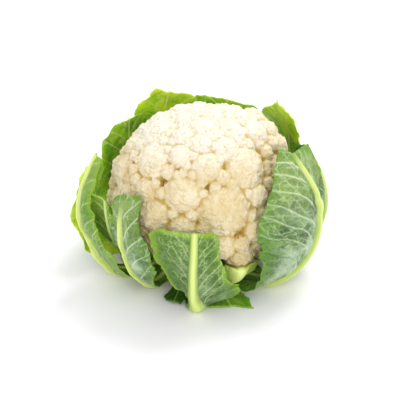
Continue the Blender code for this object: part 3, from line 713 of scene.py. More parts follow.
@dataclass(frozen=True)
class StalkFinish:
    """Pale green stump with a moist cream cut face that has browned a little at the rim."""

    skin: Colour = (0.42, 0.52, 0.16)
    skin_pale: Colour = (0.64, 0.70, 0.38)
    flesh: Colour = (0.78, 0.76, 0.50)
    ring: Colour = (0.58, 0.60, 0.28)
    browned: Colour = (0.42, 0.29, 0.11)
    roughness: float = 0.5

    def material(self, shared: SharedEffects) -> bpy.types.Material:
        """Builds the material from the shared effects and the painted cut face.

        Args:
            shared: The shared effects.

        Returns:
            The material.
        """
        made, desk, shader = new_material("stalk_green")
        flat = desk.attribute("flat", vector=True)
        rim = desk.attribute("rim")
        fibre = desk.group(shared.fibre, {"Coordinates": flat, "Across": 0.9, "Along": 0.05})
        mottle = desk.group(shared.mottle, {"Coordinates": flat, "Patch Scale": 0.12, "Fleck Scale": 1.6})
        patches, flecks = mottle["Patches"], mottle["Flecks"]
        skin = desk.mix(fibre["Streaks"], self.skin, self.skin_pale)
        skin = desk.mix(desk.math("MULTIPLY", patches, 0.3), skin, self.ring)
        flesh = desk.coats(
            desk.mix(patches, self.flesh, self.skin_pale),
            (desk.scale(rim, 0.55, 0.74, 0.0, 0.7), self.ring),
            (desk.scale(rim, 0.86, 1.0, 0.0, 0.65), self.browned),
        )
        rough = desk.scale(flecks, 0.0, 1.0, self.roughness - 0.1, self.roughness + 0.1)
        height = desk.math("ADD", fibre["Height"], flecks)
        desk.surface(shader, desk.mix(desk.attribute("cut"), skin, flesh), rough, height, 0.5, 0.0006)
        return made


# The curd


FLORETS = (
    (-15.5, 40.8, 11.2), (8.2, 47.6, 15.0), (-9.9, 65.0, 21.4), (19.9, 78.3, 30.7), (44.1, 53.7, 25.1),
    (32.1, 38.3, 11.9), (5.1, 32.5, 9.8), (-41.6, 47.2, 19.6), (-72.3, 66.5, 20.3), (-37.9, 68.0, 12.1),
    (-64.3, 87.0, 17.1), (-29.5, 83.3, 21.2), (-9.1, 88.5, 13.8), (32.7, 115.1, 14.2), (17.0, 103.3, 13.2),
    (45.2, 74.1, 11.2), (92.0, 59.0, 11.4), (78.8, 39.8, 12.9), (52.0, 29.1, 12.1), (-61.3, 30.3, 17.3),
    (-81.0, 49.2, 14.4), (57.0, 94.0, 9.5), (51.0, 116.0, 12.3), (11.5, 20.6, 11.3),
)
SWELLS = (
    (104.0, 54.0, 11.0, 28.0), (-108.0, 56.0, -4.0, 28.0), (20.0, 20.0, 1.5, 30.0), (36.0, 112.0, 6.5, 26.0),
    (180.0, 34.0, -3.8, 34.0), (146.0, 36.0, -5.0, 16.0), (-140.0, 44.0, -3.5, 24.0),
)


@dataclass
class Curd:
    """The cream head: florets, the lobes on them and the granules on both, grown from one core."""

    finish: CurdFinish
    radius: float = 80.0
    crown_depth: float = 3.8
    side_depth: float = 11.5
    core_gap: float = 1.6
    spots: int = 3000
    lowest: float = 108.0
    crown_size: float = 9.5
    rim_size: float = 16.0
    variety: tuple[float, float] = (0.85, 1.15)
    rounds: tuple[Triple, ...] = ((1.0, 0.86, 0.0), (0.62, 0.80, 1.5), (0.40, 0.70, 3.0))
    snug: float = 0.80
    dome_share: float = 0.66
    crowding: float = 1.045
    rim_polar: float = 111.0
    seat_polar: float = 143.0
    seat_drop: float = 35.0
    branches: int = 11
    branch_rise: float = 2.2
    splits: int = 99
    crowd: float = 0.90
    lobe: tuple[float, float] = (2.7, 4.0)
    lobe_share: float = 0.22
    lobe_cover: float = 0.66
    lobe_sink: float = 0.66
    crown_sink: float = 0.12
    bed: tuple[int, float, float, float] = (2600, 2.2, 3.6, 3.0)
    granule: tuple[float, float] = (1.25, 1.75)
    granule_sink: float = 0.55
    granule_cover: float = 0.62
    size_curve: float = 1.4
    deepening: tuple[float, float] = (0.95, 0.45)
    lobe_variety: tuple[float, float] = (0.86, 1.14)
    widest_cap: float = 1.5
    cap_margin: float = 0.05
    first_lobe: float = 0.35
    fewest_lobes: int = 6
    fewest_granules: int = 4
    granule_wander: Triple = (0.2, 0.8, 0.25)
    dome_edge: tuple[float, float] = (120.0, 112.0)
    # Height from which the top is painted lighter, as painted light
    crown_from: float = 0.15
    # Painted shade towards the bottom: amount, start and end of each step in which the lower side of the head
    # turns yellower
    shoulder_shades: tuple[Triple, ...] = ((0.24, 58.0, 98.0), (0.42, 104.0, 118.0))
    bed_wander: tuple[float, float] = (0.012, 0.8)
    # Seed, wavelength and height of each ripple
    ripples: Rows = ((3, 11.0, 0.30), (4, 5.0, 0.16))
    # How far round its ball each coat of granules goes, and its seed
    caps: tuple[tuple[float, int], ...] = ((76.0, 5), (80.0, 6))
    # Painted shade in the crevices and dips: how many rounds of averaging give a point's surroundings, and
    # how deep a dip is at full shade
    hollows: tuple[tuple[str, int, float], ...] = (("crevice_shade", 260, 3.4), ("hollow_shade", 36, 1.1))
    # Painted shade in the pits between granules: rounds of averaging and full depth
    pit_shades: tuple[int, float] = (6, 0.28)

    def swell(self, directions: np.ndarray) -> np.ndarray:
        """Says how far the head stands out beyond a plain ball.

        Args:
            directions: One unit vector a row.

        Returns:
            The rise along each.
        """
        rise = np.zeros(len(directions))
        for azimuth, polar, amount, spread in SWELLS:
            apart = np.degrees(np.arccos(np.clip(directions @ heading(azimuth, polar), -1.0, 1.0)))
            rise += amount * np.exp(-(apart / spread) ** 2)
        return rise

    def depth(self, ways: np.ndarray) -> np.ndarray:
        """Says how deep the crevices are: shallow on the crown and deep round the sides."""
        deeper = self.side_depth - self.crown_depth
        return self.crown_depth + deeper * smooth_step(*self.deepening, ways[:, 2])

    def florets(self) -> tuple[np.ndarray, np.ndarray, np.ndarray, np.ndarray]:
        """Lays out the florets: those listed, then seeded rounds that fill the gaps.

        Returns:
            Directions, the radii and centres of their domes, and how far down each dome shows.
        """
        rng = np.random.default_rng(SEED)
        heads = [heading(a, p) for a, p, _ in FLORETS]
        sizes = [r for _, _, r in FLORETS]
        tucks = [0.0] * len(FLORETS)
        spots = even_directions(self.spots)
        rng.shuffle(spots)
        for share, crowding, tuck in self.rounds:
            for spot in spots:
                polar = math.degrees(math.acos(spot[2]))
                if polar > self.lowest:
                    continue
                outward = min(1.0, polar / 90.0) ** self.size_curve
                grown = self.crown_size + (self.rim_size - self.crown_size) * outward
                size = grown * share * rng.uniform(*self.variety)
                near = np.arccos(np.clip(np.array(heads) @ spot, -1.0, 1.0)) * self.radius
                room = np.min(near / crowding - np.array(sizes))
                if room > size * self.snug:
                    heads.append(spot)
                    sizes.append(min(size, room))
                    tucks.append(tuck)
        ways, wide = np.array(heads), np.array(sizes)
        top = self.radius + self.swell(ways) - np.array(tucks)
        edge = top - np.minimum(self.depth(ways), self.dome_share * wide)
        angle = wide * self.crowding / self.radius
        balls = edge ** 2 + top ** 2 - 2.0 * edge * top * np.cos(angle)
        balls = balls / (2.0 * (top - edge * np.cos(angle)))
        lean = np.arctan2(edge * np.sin(angle), edge * np.cos(angle) - (top - balls))
        return ways, balls, ways * (top - balls)[:, None], lean

    def lobes(self, ways: np.ndarray, sizes: np.ndarray, middles: np.ndarray,
              leans: np.ndarray) -> tuple[np.ndarray, np.ndarray, np.ndarray]:
        """Sets the lobes that stand out of each floret.

        Args:
            ways: The florets' directions.
            sizes: The florets' radii.
            middles: The florets' centres.
            leans: How far down each floret shows, as an angle at its centre.

        Returns:
            Centres, radii and outward directions.
        """
        rng = np.random.default_rng(SEED + 1)
        centres, radii, outs = [], [], []
        for axis, size, middle, lean_end in zip(ways, sizes, middles, leans):
            first, second = side_pair(axis)
            cap = 1.0 - math.cos(min(self.widest_cap, lean_end + self.cap_margin))
            lobe = min(self.lobe[1], max(self.lobe[0], size * self.lobe_share))
            count = int(round(2.0 * cap * (size / lobe) ** 2 * self.lobe_cover))
            count = max(self.fewest_lobes, count)
            start = rng.uniform(0.0, 2.0 * math.pi)
            for k in range(count):
                lean = math.acos(1.0 - cap * (k + self.first_lobe) / count)
                turn = start + k * GOLDEN
                ring = first * math.cos(turn) + second * math.sin(turn)
                out = axis * math.cos(lean) + ring * math.sin(lean)
                grown = lobe * rng.uniform(*self.lobe_variety)
                sink = self.lobe_sink + self.crown_sink * max(0.0, axis[2])
                centres.append(middle + out * (size - sink * grown))
                radii.append(grown)
                outs.append(out)
        return np.array(centres), np.array(radii), np.array(outs)

    def bed_balls(self) -> tuple[np.ndarray, np.ndarray]:
        """Lays small knobs over the core, which show at the bottom of the gaps between florets.

        Returns:
            Their centres and radii.
        """
        count, small, large, stand = self.bed
        turn, rise = self.bed_wander
        rng = np.random.default_rng(SEED + 2)
        ways = unit_rows(even_directions(count) + rng.normal(0.0, turn, (count, 3)))
        ways = ways[ways[:, 2] > math.cos(math.radians(self.rim_polar))]
        sizes = rng.uniform(small, large, len(ways))
        level = self.radius - self.depth(ways) - self.core_gap + stand + rng.uniform(-rise, rise, len(ways))
        return ways * (level + self.swell(ways) - sizes)[:, None], sizes

    def granules(self, centres: np.ndarray, radii: np.ndarray, outs: np.ndarray, cap_angle: float,
                 seed: int) -> tuple[np.ndarray, np.ndarray]:
        """Covers the outer side of each ball with small granules.

        Args:
            centres: The balls' centres.
            radii: The balls' radii.
            outs: The way that each ball faces.
            cap_angle: How far round the ball they go.
            seed: Start of the seeded spread.

        Returns:
            Centres and radii of the granules.
        """
        rng = np.random.default_rng(seed)
        spots, sizes = [], []
        cap = 1.0 - math.cos(math.radians(cap_angle))
        middle = 0.5 * sum(self.granule)
        low, high, sway = self.granule_wander
        for centre, radius, out in zip(centres, radii, outs):
            first, second = side_pair(out)
            count = int(2.0 * cap * (radius / middle) ** 2 * self.granule_cover)
            count = max(self.fewest_granules, count)
            k = np.arange(count)
            lean = np.arccos(1.0 - cap * (k + rng.uniform(low, high, count)) / count)
            turn = rng.uniform(0.0, 2.0 * math.pi) + k * GOLDEN + rng.uniform(-sway, sway, count)
            ring = first * np.cos(turn)[:, None] + second * np.sin(turn)[:, None]
            away = out * np.cos(lean)[:, None] + ring * np.sin(lean)[:, None]
            grown = rng.uniform(*self.granule, count)
            spots.append(centre + away * (radius - self.granule_sink * grown)[:, None])
            sizes.append(grown)
        return np.concatenate(spots), np.concatenate(sizes)

    def core_reach(self, directions: np.ndarray) -> np.ndarray:
        """Gives the plain core's radius: round above, drawn in to a flat seat on the stalk below.

        Args:
            directions: One unit vector a row.

        Returns:
            The radius along each.
        """
        polar = np.degrees(np.arccos(np.clip(directions[:, 2], -1.0, 1.0)))
        azimuth = np.arctan2(directions[:, 0], -directions[:, 1])
        seat = self.seat_drop / math.cos(math.radians(180.0 - self.seat_polar))
        slope = np.clip((polar - self.rim_polar) / (self.seat_polar - self.rim_polar), 0.0, 1.0)
        top = self.radius - self.depth(directions) - self.core_gap + self.swell(directions)
        ridge = np.abs(np.sin(azimuth * self.branches / 2.0)) * np.sin(math.pi * slope)
        reach = top + (seat - top) * slope + self.branch_rise * ridge
        flat = self.seat_drop / np.maximum(-directions[:, 2], 0.1)
        return np.where(polar > self.seat_polar, flat, reach)

    @staticmethod
    def sunk(reach: np.ndarray, links: np.ndarray, rounds: int, deep: float) -> np.ndarray:
        """Says how far each point lies below its surroundings, in depths of that dip, which sets the painted
        shade.
        """
        return np.clip((eased(reach, links, rounds) - reach) / deep, 0.0, 2.0)

    @staticmethod
    def raise_balls(tree: KDTree, ways: np.ndarray, reach: np.ndarray, centres: np.ndarray,
                    radii: np.ndarray) -> None:
        """Lifts the surface to the far side of each ball.

        Args:
            tree: Search tree of the surface's directions.
            ways: The surface's directions.
            reach: The surface's radius along each, which this changes.
            centres: The balls' centres.
            radii: The balls' radii.
        """
        for centre, radius in zip(centres, radii):
            away = float(np.linalg.norm(centre))
            span = 2.0 * math.sin(0.5 * math.asin(min(1.0, radius / away)))
            found = [k for _, k, _ in tree.find_range(Vector(centre / away), span)]
            if not found:
                continue
            near = np.array(found)
            along = ways[near] @ centre
            under = along * along - (away * away - radius * radius)
            far = np.where(under > 0.0, along + np.sqrt(np.maximum(under, 0.0)), 0.0)
            reach[near] = np.maximum(reach[near], far)

    def build(self) -> Shape:
        """Builds the whole head.

        Returns:
            Its shape, with the depth of its dips painted on as painted shade, and painted light on its crown.
        """
        ways, faces = fine_ball(self.splits, self.crowd)
        tree = search_tree(ways)
        links = np.sort(np.concatenate((faces[:, :2], faces[:, 1:], faces[:, ::2])), axis=1)
        links = np.unique(links, axis=0)
        heads, sizes, middles, leans = self.florets()
        centres, radii, outs = self.lobes(heads, sizes, middles, leans)
        reach = self.core_reach(ways)
        for balls in (self.bed_balls(), (middles, sizes), (centres, radii)):
            self.raise_balls(tree, ways, reach, *balls)
        at = ways * reach[:, None]
        polar = np.degrees(np.arccos(np.clip(ways[:, 2], -1.0, 1.0)))
        dome = smooth_step(*self.dome_edge, polar)
        reach = reach + dome * sum(high * Ripples(seed, wave).at(at) for seed, wave, high in self.ripples)
        reach = np.where(dome > 0.0, eased(reach, links, 1), reach)
        rough = reach.copy()
        for balls, cap in zip(((middles, sizes, heads), (centres, radii, outs)), self.caps):
            self.raise_balls(tree, ways, reach, *self.granules(*balls, *cap))
        # Painted shade in the crevices, dips and pits and towards the bottom, and painted light on the top
        paint = {key: self.sunk(rough, links, rounds, deep) * dome for key, rounds, deep in self.hollows}
        paint["pit_shade"] = self.sunk(reach, links, *self.pit_shades) * dome
        paint["crown"] = smooth_step(self.crown_from, 1.0, ways[:, 2])
        paint["shoulder_shade"] = sum(share * smooth_step(low, high, polar) for share, low, high in self.shoulder_shades)
        return Shape(ways * reach[:, None], faces, paint)

    def dress(self, shared: SharedEffects) -> tuple[bpy.types.Object, BVHTree]:
        """Builds the head, dresses it and gives the piece and its search tree."""
        shape = self.build()
        return shape.piece("curd_head", "curd", self.finish.material(shared)), shape.tree()


# The stalk


@dataclass
class Stalk:
    """The short stump, cut flat beneath and scarred where older leaves were broken off."""

    finish: StalkFinish
    radius: float = 24.0
    top: float = 44.7
    face_radius: float = 22.4
    sides: int = 144
    ridges: int = 7
    ridge_depth: float = 0.9
    ridge_twist: float = 0.11
    rings: int = 15
    rows: int = 36
    scar_depth: float = 0.5
    scar_squash: float = 1.5
    face_wear: float = 0.25
    wear: tuple[int, float] = (8, 9.0)
    scars: tuple[Triple, ...] = ((75.0, 6.5, 5.5), (-95.0, 6.0, 5.0), (178.0, 6.2, 5.2))

    def build(self) -> Shape:
        """Builds the stump with its ridges, scars and cut face.

        Returns:
            Its shape, with the cut face painted on.
        """
        face_rings = np.linspace(0.0, self.face_radius, self.rings + 1)[1:]
        heights = np.concatenate((np.zeros(self.rings), (0.5, 1.6), np.linspace(3.0, self.top, self.rows)))
        widths = np.concatenate((face_rings, (self.radius - 0.5,), np.full(self.rows + 1, self.radius)))
        turn = 2.0 * math.pi * np.arange(self.sides) / self.sides
        skin = np.arange(len(heights)) >= self.rings
        dip = 0.5 + 0.5 * np.sin(self.ridges * turn[None, :] + heights[:, None] * self.ridge_twist)
        dip = self.ridge_depth * dip
        radius = widths[:, None] - dip * np.minimum(1.0, widths[:, None] / self.face_radius)
        for azimuth, height, size in self.scars:
            side = np.abs((np.degrees(turn)[None, :] - azimuth + 180.0) % 360.0 - 180.0)
            side = side * self.radius * math.pi / 180.0
            away = np.hypot(side, (heights[:, None] - height) * self.scar_squash) / size
            radius = radius - skin[:, None] * self.scar_depth * smooth_step(1.0, 0.8, away)
        x, y = np.sin(turn)[None, :], -np.cos(turn)[None, :]
        level = np.broadcast_to(heights[:, None], radius.shape)
        uneven = Ripples(*self.wear).at(np.stack((radius * x, radius * y), axis=-1))
        sunk = self.face_wear * (1.0 - skin[:, None]) * (0.5 + 0.5 * uneven)
        sunk = sunk * smooth_step(self.face_radius, self.face_radius * 0.8, widths[:, None])
        rows = np.stack((radius * x, radius * y, level + sunk - CENTRE_Z), axis=-1).reshape(-1, 3)
        points = np.vstack((rows, (0.0, 0.0, 0.1 - CENTRE_Z), (0.0, 0.0, self.top - CENTRE_Z)))
        ring, side = np.meshgrid(np.arange(len(heights) - 1), np.arange(self.sides), indexing="ij")
        nxt = (side + 1) % self.sides
        a, b = ring * self.sides + side, ring * self.sides + nxt
        quads = np.stack((a, b, b + self.sides, a + self.sides), axis=-1).reshape(-1, 4)
        k = np.arange(self.sides)
        n = (k + 1) % self.sides
        last = (len(heights) - 1) * self.sides
        low = np.stack((np.full(self.sides, len(rows)), n, k), axis=1)
        high = np.stack((np.full(self.sides, len(rows) + 1), last + k, last + n), axis=1)
        spread = np.broadcast_to(turn[None, :] * self.radius, radius.shape)
        unrolled = np.where(skin[:, None], spread, radius * x), np.where(skin[:, None], level, radius * y)
        flat = np.stack((*unrolled, level), axis=-1)
        rim = np.broadcast_to((widths / self.radius)[:, None], radius.shape).ravel()
        cut = np.broadcast_to((1.0 - skin * smooth_step(0.2, 1.6, heights))[:, None], radius.shape).ravel()
        paint = {
            "flat": np.vstack((flat.reshape(-1, 3), np.zeros((2, 3)))),
            "rim": np.append(rim, (0.0, 0.0)),
            "cut": np.append(cut, (1.0, 0.0)),
        }
        return Shape(points, np.concatenate((halved(quads), low, high)), paint)

    def dress(self, shared: SharedEffects) -> bpy.types.Object:
        """Builds and dresses the stump."""
        return self.build().piece("stalk_stump", "stalk", self.finish.material(shared))


# The leaves


@dataclass(frozen=True)
class LeafPlan:
    """Where one leaf grows and how it is cut, from its root to its tip.

    rib is azimuth, distance from the axis and height. width and edge are share of the length, left, right.
    rib_half and rib_high are share of the length and size. slant is how much longer the right side is.
    """

    name: str
    kind: Kind
    rows: int
    rib: Rows
    width: Rows
    edge: Rows
    rib_half: Rows
    rib_high: Rows
    wave: Triple
    slant: float
    crumple: float = 0.35
    teeth: float = 0.9
    vein_start: float = 0.2
    vein_gap: float = 18.0
    vein_lean: Triple = (18.0, 46.0, 36.0)
    vein_half: float = 0.75
    rib_fade: float = 1.2
    spacing: float = 0.9


# Half-width and height along the rib of the broad leaves at the back
BACK_RIB = (((0, 8.0), (0.3, 5.4), (0.6, 3.5), (1, 1.8)), ((0, 5.0), (0.4, 3.5), (1, 1.2)))

LEAF_PLANS = (
    LeafPlan(
        "leaf_stub", Kind.LIT_STUB, 8,
        ((24, 24.4, 27), (25, 40, 21), (26, 54, 19), (27, 66, 24), (28, 73, 34), (28, 76, 44)),
        ((0, 11, 11), (0.5, 13, 17), (0.8, 15, 20), (1, 12, 15)),
        ((0, 0, 0), (1, -1, 1)),
        ((0, 9.0), (0.3, 8.6), (0.6, 8.3), (1, 8.0)),
        ((0, 4.5), (0.4, 4.3), (1, 4.0)),
        (0.4, 2.0, 0.0), 0.0, crumple=0.2, teeth=0.3,
    ),
    LeafPlan(
        "leaf_left_inner", Kind.DEEP, 12,
        ((-60, 24.4, 34), (-60, 42, 29), (-61, 60, 29), (-62, 75, 39), (-63, 83, 56), (-64, 86, 74),
         (-66, 86, 94)),
        ((0, 8, 8), (0.3, 12, 20), (0.55, 14, 26), (0.8, 17, 14), (0.92, 12, 8), (1, 5, 4)),
        ((0, 0, 0), (0.5, 4, 0), (0.8, 11, -1), (1, 8, 0)),
        ((0, 7.0), (0.3, 4.7), (0.6, 3.1), (1, 1.6)),
        ((0, 4.0), (0.4, 2.8), (1, 1.0)),
        (1.2, 3.0, 0.6), -0.06, vein_gap=10.0,
    ),
    LeafPlan(
        "leaf_base_left", Kind.SHADED, 7,
        ((-17, 24.4, 31), (-17, 34, 22), (-17, 46, 11), (-17, 57, 5.5), (-17, 68.5, 4)),
        ((0, 3, 3), (0.5, 4, 4), (0.7, 6, 7), (0.88, 10, 9), (1, 8, 7)),
        ((0, 0, 0), (1, 1, 1)),
        ((0, 2.6), (0.6, 1.8), (1, 1.4)),
        ((0, 2.4), (0.4, 1.8), (1, 0.8)),
        (0.6, 2.5, 0.3), 0.0, crumple=0.15, vein_gap=7.0, vein_start=0.5,
    ),
    LeafPlan(
        "leaf_back_left", Kind.DEEP, 14,
        ((-138, 24.4, 22), (-138, 44, 14), (-138, 62, 11), (-138, 76, 20), (-138, 85, 38),
         (-137, 90, 60), (-136, 91, 84), (-134, 89, 104), (-132, 84, 121)),
        ((0, 9, 9), (0.25, 15, 15), (0.45, 38, 34), (0.65, 46, 44), (0.82, 42, 40), (0.93, 34, 32),
         (1, 18, 14)),
        ((0, 0, 0), (0.5, 2, 2), (1, 2, 3)),
        *BACK_RIB,
        (2.0, 4.0, 0.2), 0.0, teeth=1.2,
    ),
    LeafPlan(
        "leaf_back_right", Kind.DEEP, 14,
        ((163, 24.4, 22), (163, 44, 14), (163, 62, 11), (163, 76, 20), (162, 86, 38), (161, 92, 60),
         (160, 94, 84), (160, 91, 106), (160, 85, 121), (160, 79, 135.5)),
        ((0, 9, 9), (0.25, 15, 15), (0.45, 38, 38), (0.65, 46, 46), (0.82, 38, 42), (0.93, 32, 36),
         (1, 25, 30)),
        ((0, 0, 0), (0.5, 2, 2), (1, 2, 2)),
        *BACK_RIB,
        (2.0, 4.0, 0.7), 0.02, teeth=1.2,
    ),
    LeafPlan(
        "leaf_front_left", Kind.PALE_WRAPPER, 15,
        ((-42, 24.4, 22), (-42, 40, 12), (-41.5, 54, 8.5), (-41.5, 66, 13), (-42.5, 75.5, 26),
         (-44, 81, 40), (-45, 85, 56), (-45, 86.5, 70), (-45, 86, 83), (-45, 83.5, 96),
         (-45, 77.5, 110.5)),
        ((0, 9, 9), (0.25, 7, 9), (0.36, 5, 17), (0.5, 5, 30), (0.62, 9, 32), (0.75, 11, 24),
         (0.85, 11, 18), (0.94, 11, 18), (1, 11, 16)),
        ((0, 0, 0), (1, 0, 0)),
        ((0, 8.0), (0.3, 7.0), (0.42, 4.6), (0.6, 3.6), (1, 2.0)),
        ((0, 5.5), (0.4, 3.8), (1, 1.2)),
        (0.8, 3.0, 0.1), 0.035, crumple=0.5, vein_gap=17.0, rib_fade=0.86,
    ),
    LeafPlan(
        "leaf_far_right", Kind.PALE_WRAPPER, 14,
        ((94, 24.4, 20), (93, 46, 11), (91, 68, 8), (90, 87, 12), (89, 99, 24), (88.5, 109, 44),
         (89, 113.5, 66), (92, 110.5, 88), (97, 103, 104), (100, 96, 115)),
        ((0, 9, 9), (0.25, 11, 14), (0.45, 11, 34), (0.65, 11, 38), (0.85, 14, 30), (1, 10, 12)),
        ((0, 0, 0), (0.5, -12, -8), (1, -7, -5)),
        ((0, 8.0), (0.3, 6.5), (0.6, 5.0), (1, 2.2)),
        ((0, 5.5), (0.4, 4.4), (0.7, 3.4), (1, 1.4)),
        (1.8, 4.0, 0.4), 0.0,
    ),
    LeafPlan(
        "leaf_left_back", Kind.SUNLIT, 14,
        ((-112, 24.4, 9), (-112, 48, 7), (-112, 70, 7), (-112, 86, 14), (-112, 97, 28), (-113, 104, 45),
         (-114, 106, 62), (-115, 104, 80)),
        ((0, 8, 8), (0.3, 14, 14), (0.45, 30, 40), (0.6, 38, 50), (0.76, 36, 43), (0.88, 26, 26),
         (1, 10, 8)),
        ((0, 0, 0), (0.5, 0, 7), (1, 0, 6)),
        ((0, 7.5), (0.3, 5.1), (0.6, 3.4), (1, 1.8)),
        ((0, 5.0), (0.4, 3.5), (1, 1.2)),
        (1.8, 4.0, 0.0), 0.0, teeth=1.3,
    ),
    LeafPlan(
        "leaf_back", Kind.SUNLIT, 15,
        ((-164, 24.4, 9), (-164, 48, 7), (-164, 70, 7), (-164, 85, 17), (-163, 94, 36), (-162, 98, 58),
         (-161, 98, 82), (-161, 94, 106), (-160, 85, 127), (-160, 72, 145), (-160, 63.5, 154)),
        ((0, 9, 9), (0.3, 15, 15), (0.5, 38, 38), (0.7, 44, 41), (0.87, 38, 25), (0.95, 34, 19),
         (1, 31, 16)),
        ((0, 0, 0), (0.5, 1, 1), (1, 1, 2)),
        ((0, 8.5), (0.3, 5.7), (0.6, 3.7), (1, 1.8)),
        ((0, 5.5), (0.4, 3.8), (1, 1.2)),
        (2.0, 4.0, 0.5), 0.08, teeth=1.3,
    ),
    LeafPlan(
        "leaf_right_back", Kind.SUNLIT, 15,
        ((130, 24.4, 9), (130, 48, 7), (130, 70, 7), (130, 86, 17), (128, 96, 36), (125, 102, 58),
         (122, 103, 82), (120, 98, 106), (115, 89, 128), (109, 79, 145.5), (105.5, 76.5, 152)),
        ((0, 9, 9), (0.3, 15, 15), (0.5, 34, 38), (0.65, 26, 42), (0.8, 20, 38), (0.9, 13, 28),
         (1, 7, 12)),
        ((0, 0, 0), (0.5, 0, 0), (1, 0, 1)),
        *BACK_RIB,
        (2.0, 4.0, 0.9), -0.03, teeth=1.2,
    ),
    LeafPlan(
        "leaf_left", Kind.WRAPPER, 15,
        ((-68, 24.4, 9), (-69, 45, 7), (-70, 62, 7), (-72, 77, 14), (-74, 88, 29), (-76, 96, 46),
         (-76, 99.5, 61), (-76, 99.5, 78), (-76, 96.5, 92.5), (-75, 91.5, 107), (-74, 84, 124)),
        ((0, 8, 8), (0.12, 8, 10), (0.2, 8, 16), (0.28, 7, 30), (0.35, 6, 44), (0.5, 6, 38),
         (0.62, 5, 24), (0.75, 5, 16), (0.9, 5, 16), (1, 2, 4)),
        ((0, 0, 0), (0.4, 0, -9), (0.7, 0, -9), (1, 0, -4)),
        ((0, 7.5), (0.3, 5.6), (0.6, 4.3), (1, 2.2)),
        ((0, 6.5), (0.4, 6.0), (0.7, 4.2), (1, 1.8)),
        (0.9, 3.0, 0.3), 0.0,
    ),
    LeafPlan(
        "leaf_front", Kind.FRONT, 16,
        ((0, 24.4, 11), (0.5, 45, 8.5), (0.9, 65, 5.8), (0.4, 78, 8.8), (-1.9, 83, 22), (-2.1, 85, 45),
         (-1.5, 87, 68), (-1, 88.5, 90)),
        ((0, 10, 10), (0.3, 10.5, 10.5), (0.37, 10, 24), (0.41, 8, 43), (0.47, 6.5, 41), (0.53, 10, 38),
         (0.6, 17, 32), (0.67, 25.5, 27), (0.73, 29, 25), (0.8, 32.5, 22), (0.87, 36.5, 20.5),
         (0.94, 37, 18.5), (1, 27, 16.5)),
        ((0, 0, 0), (0.36, -5, -4), (0.6, -1, 1), (1, -1, -1)),
        ((0, 9.0), (0.3, 9.4), (0.38, 7.4), (0.47, 4.8), (0.6, 3.5), (1, 2.2)),
        ((0, 5.5), (0.4, 4.6), (0.6, 3.2), (1, 2.0)),
        (0.8, 3.0, 0.0), 0.0, vein_start=0.39, vein_gap=11.0, vein_lean=(16.0, 36.0, 30.0), vein_half=0.58,
        spacing=0.75,
    ),
    LeafPlan(
        "leaf_right", Kind.PALE_WRAPPER, 17,
        ((54, 24.4, 9), (56, 45, 7), (58, 64, 7), (62, 80, 9), (68, 94, 20), (72, 104, 36),
         (73, 109, 56), (72.3, 108.5, 76), (70.2, 103, 95), (68.7, 95, 111), (67, 87, 124),
         (64.5, 76, 142)),
        ((0, 11, 11), (0.08, 12, 22), (0.13, 16, 24), (0.2, 34, 19), (0.27, 55, 15), (0.34, 71, 12),
         (0.44, 81, 9), (0.5, 74, 9), (0.62, 77, 9.5), (0.69, 70, 11), (0.75, 62, 13), (0.81, 60, 17),
         (0.845, 53, 19), (0.875, 37, 21), (0.94, 23, 29), (1, 9, 35)),
        ((0, 0, 0), (0.2, 5, -1), (0.34, -10, -2), (0.5, -17, -2), (0.75, -19, -2), (0.9, -9, 3),
         (1, -2, 5)),
        ((0, 9.5), (0.3, 9.0), (0.45, 7.2), (0.6, 5.2), (0.8, 3.4), (1, 2.2)),
        ((0, 6.5), (0.4, 5.6), (0.7, 3.6), (1, 1.6)),
        (1.0, 4.0, 0.2), -0.07, crumple=0.85, vein_start=0.14, vein_gap=19.0, vein_lean=(16.0, 46.0, 30.0),
        vein_half=0.72, rib_fade=0.95, spacing=0.75,
    ),
    LeafPlan(
        "leaf_base_right", Kind.TORN, 8,
        ((23, 24.4, 20), (23, 42, 11), (23.5, 56, 5.5), (23.5, 68, 3.2), (23, 81, 3.0)),
        ((0, 7, 7), (0.5, 12, 12), (0.75, 16, 17), (1, 17, 16)),
        ((0, 0, 0), (1, 0, 1)),
        ((0, 5.0), (0.3, 3.6), (0.6, 2.6), (1, 1.6)),
        ((0, 3.0), (0.4, 2.1), (1, 0.8)),
        (0.6, 2.5, 0.3), 0.18, crumple=0.15, vein_gap=8.0, vein_start=0.4,
    ),
)

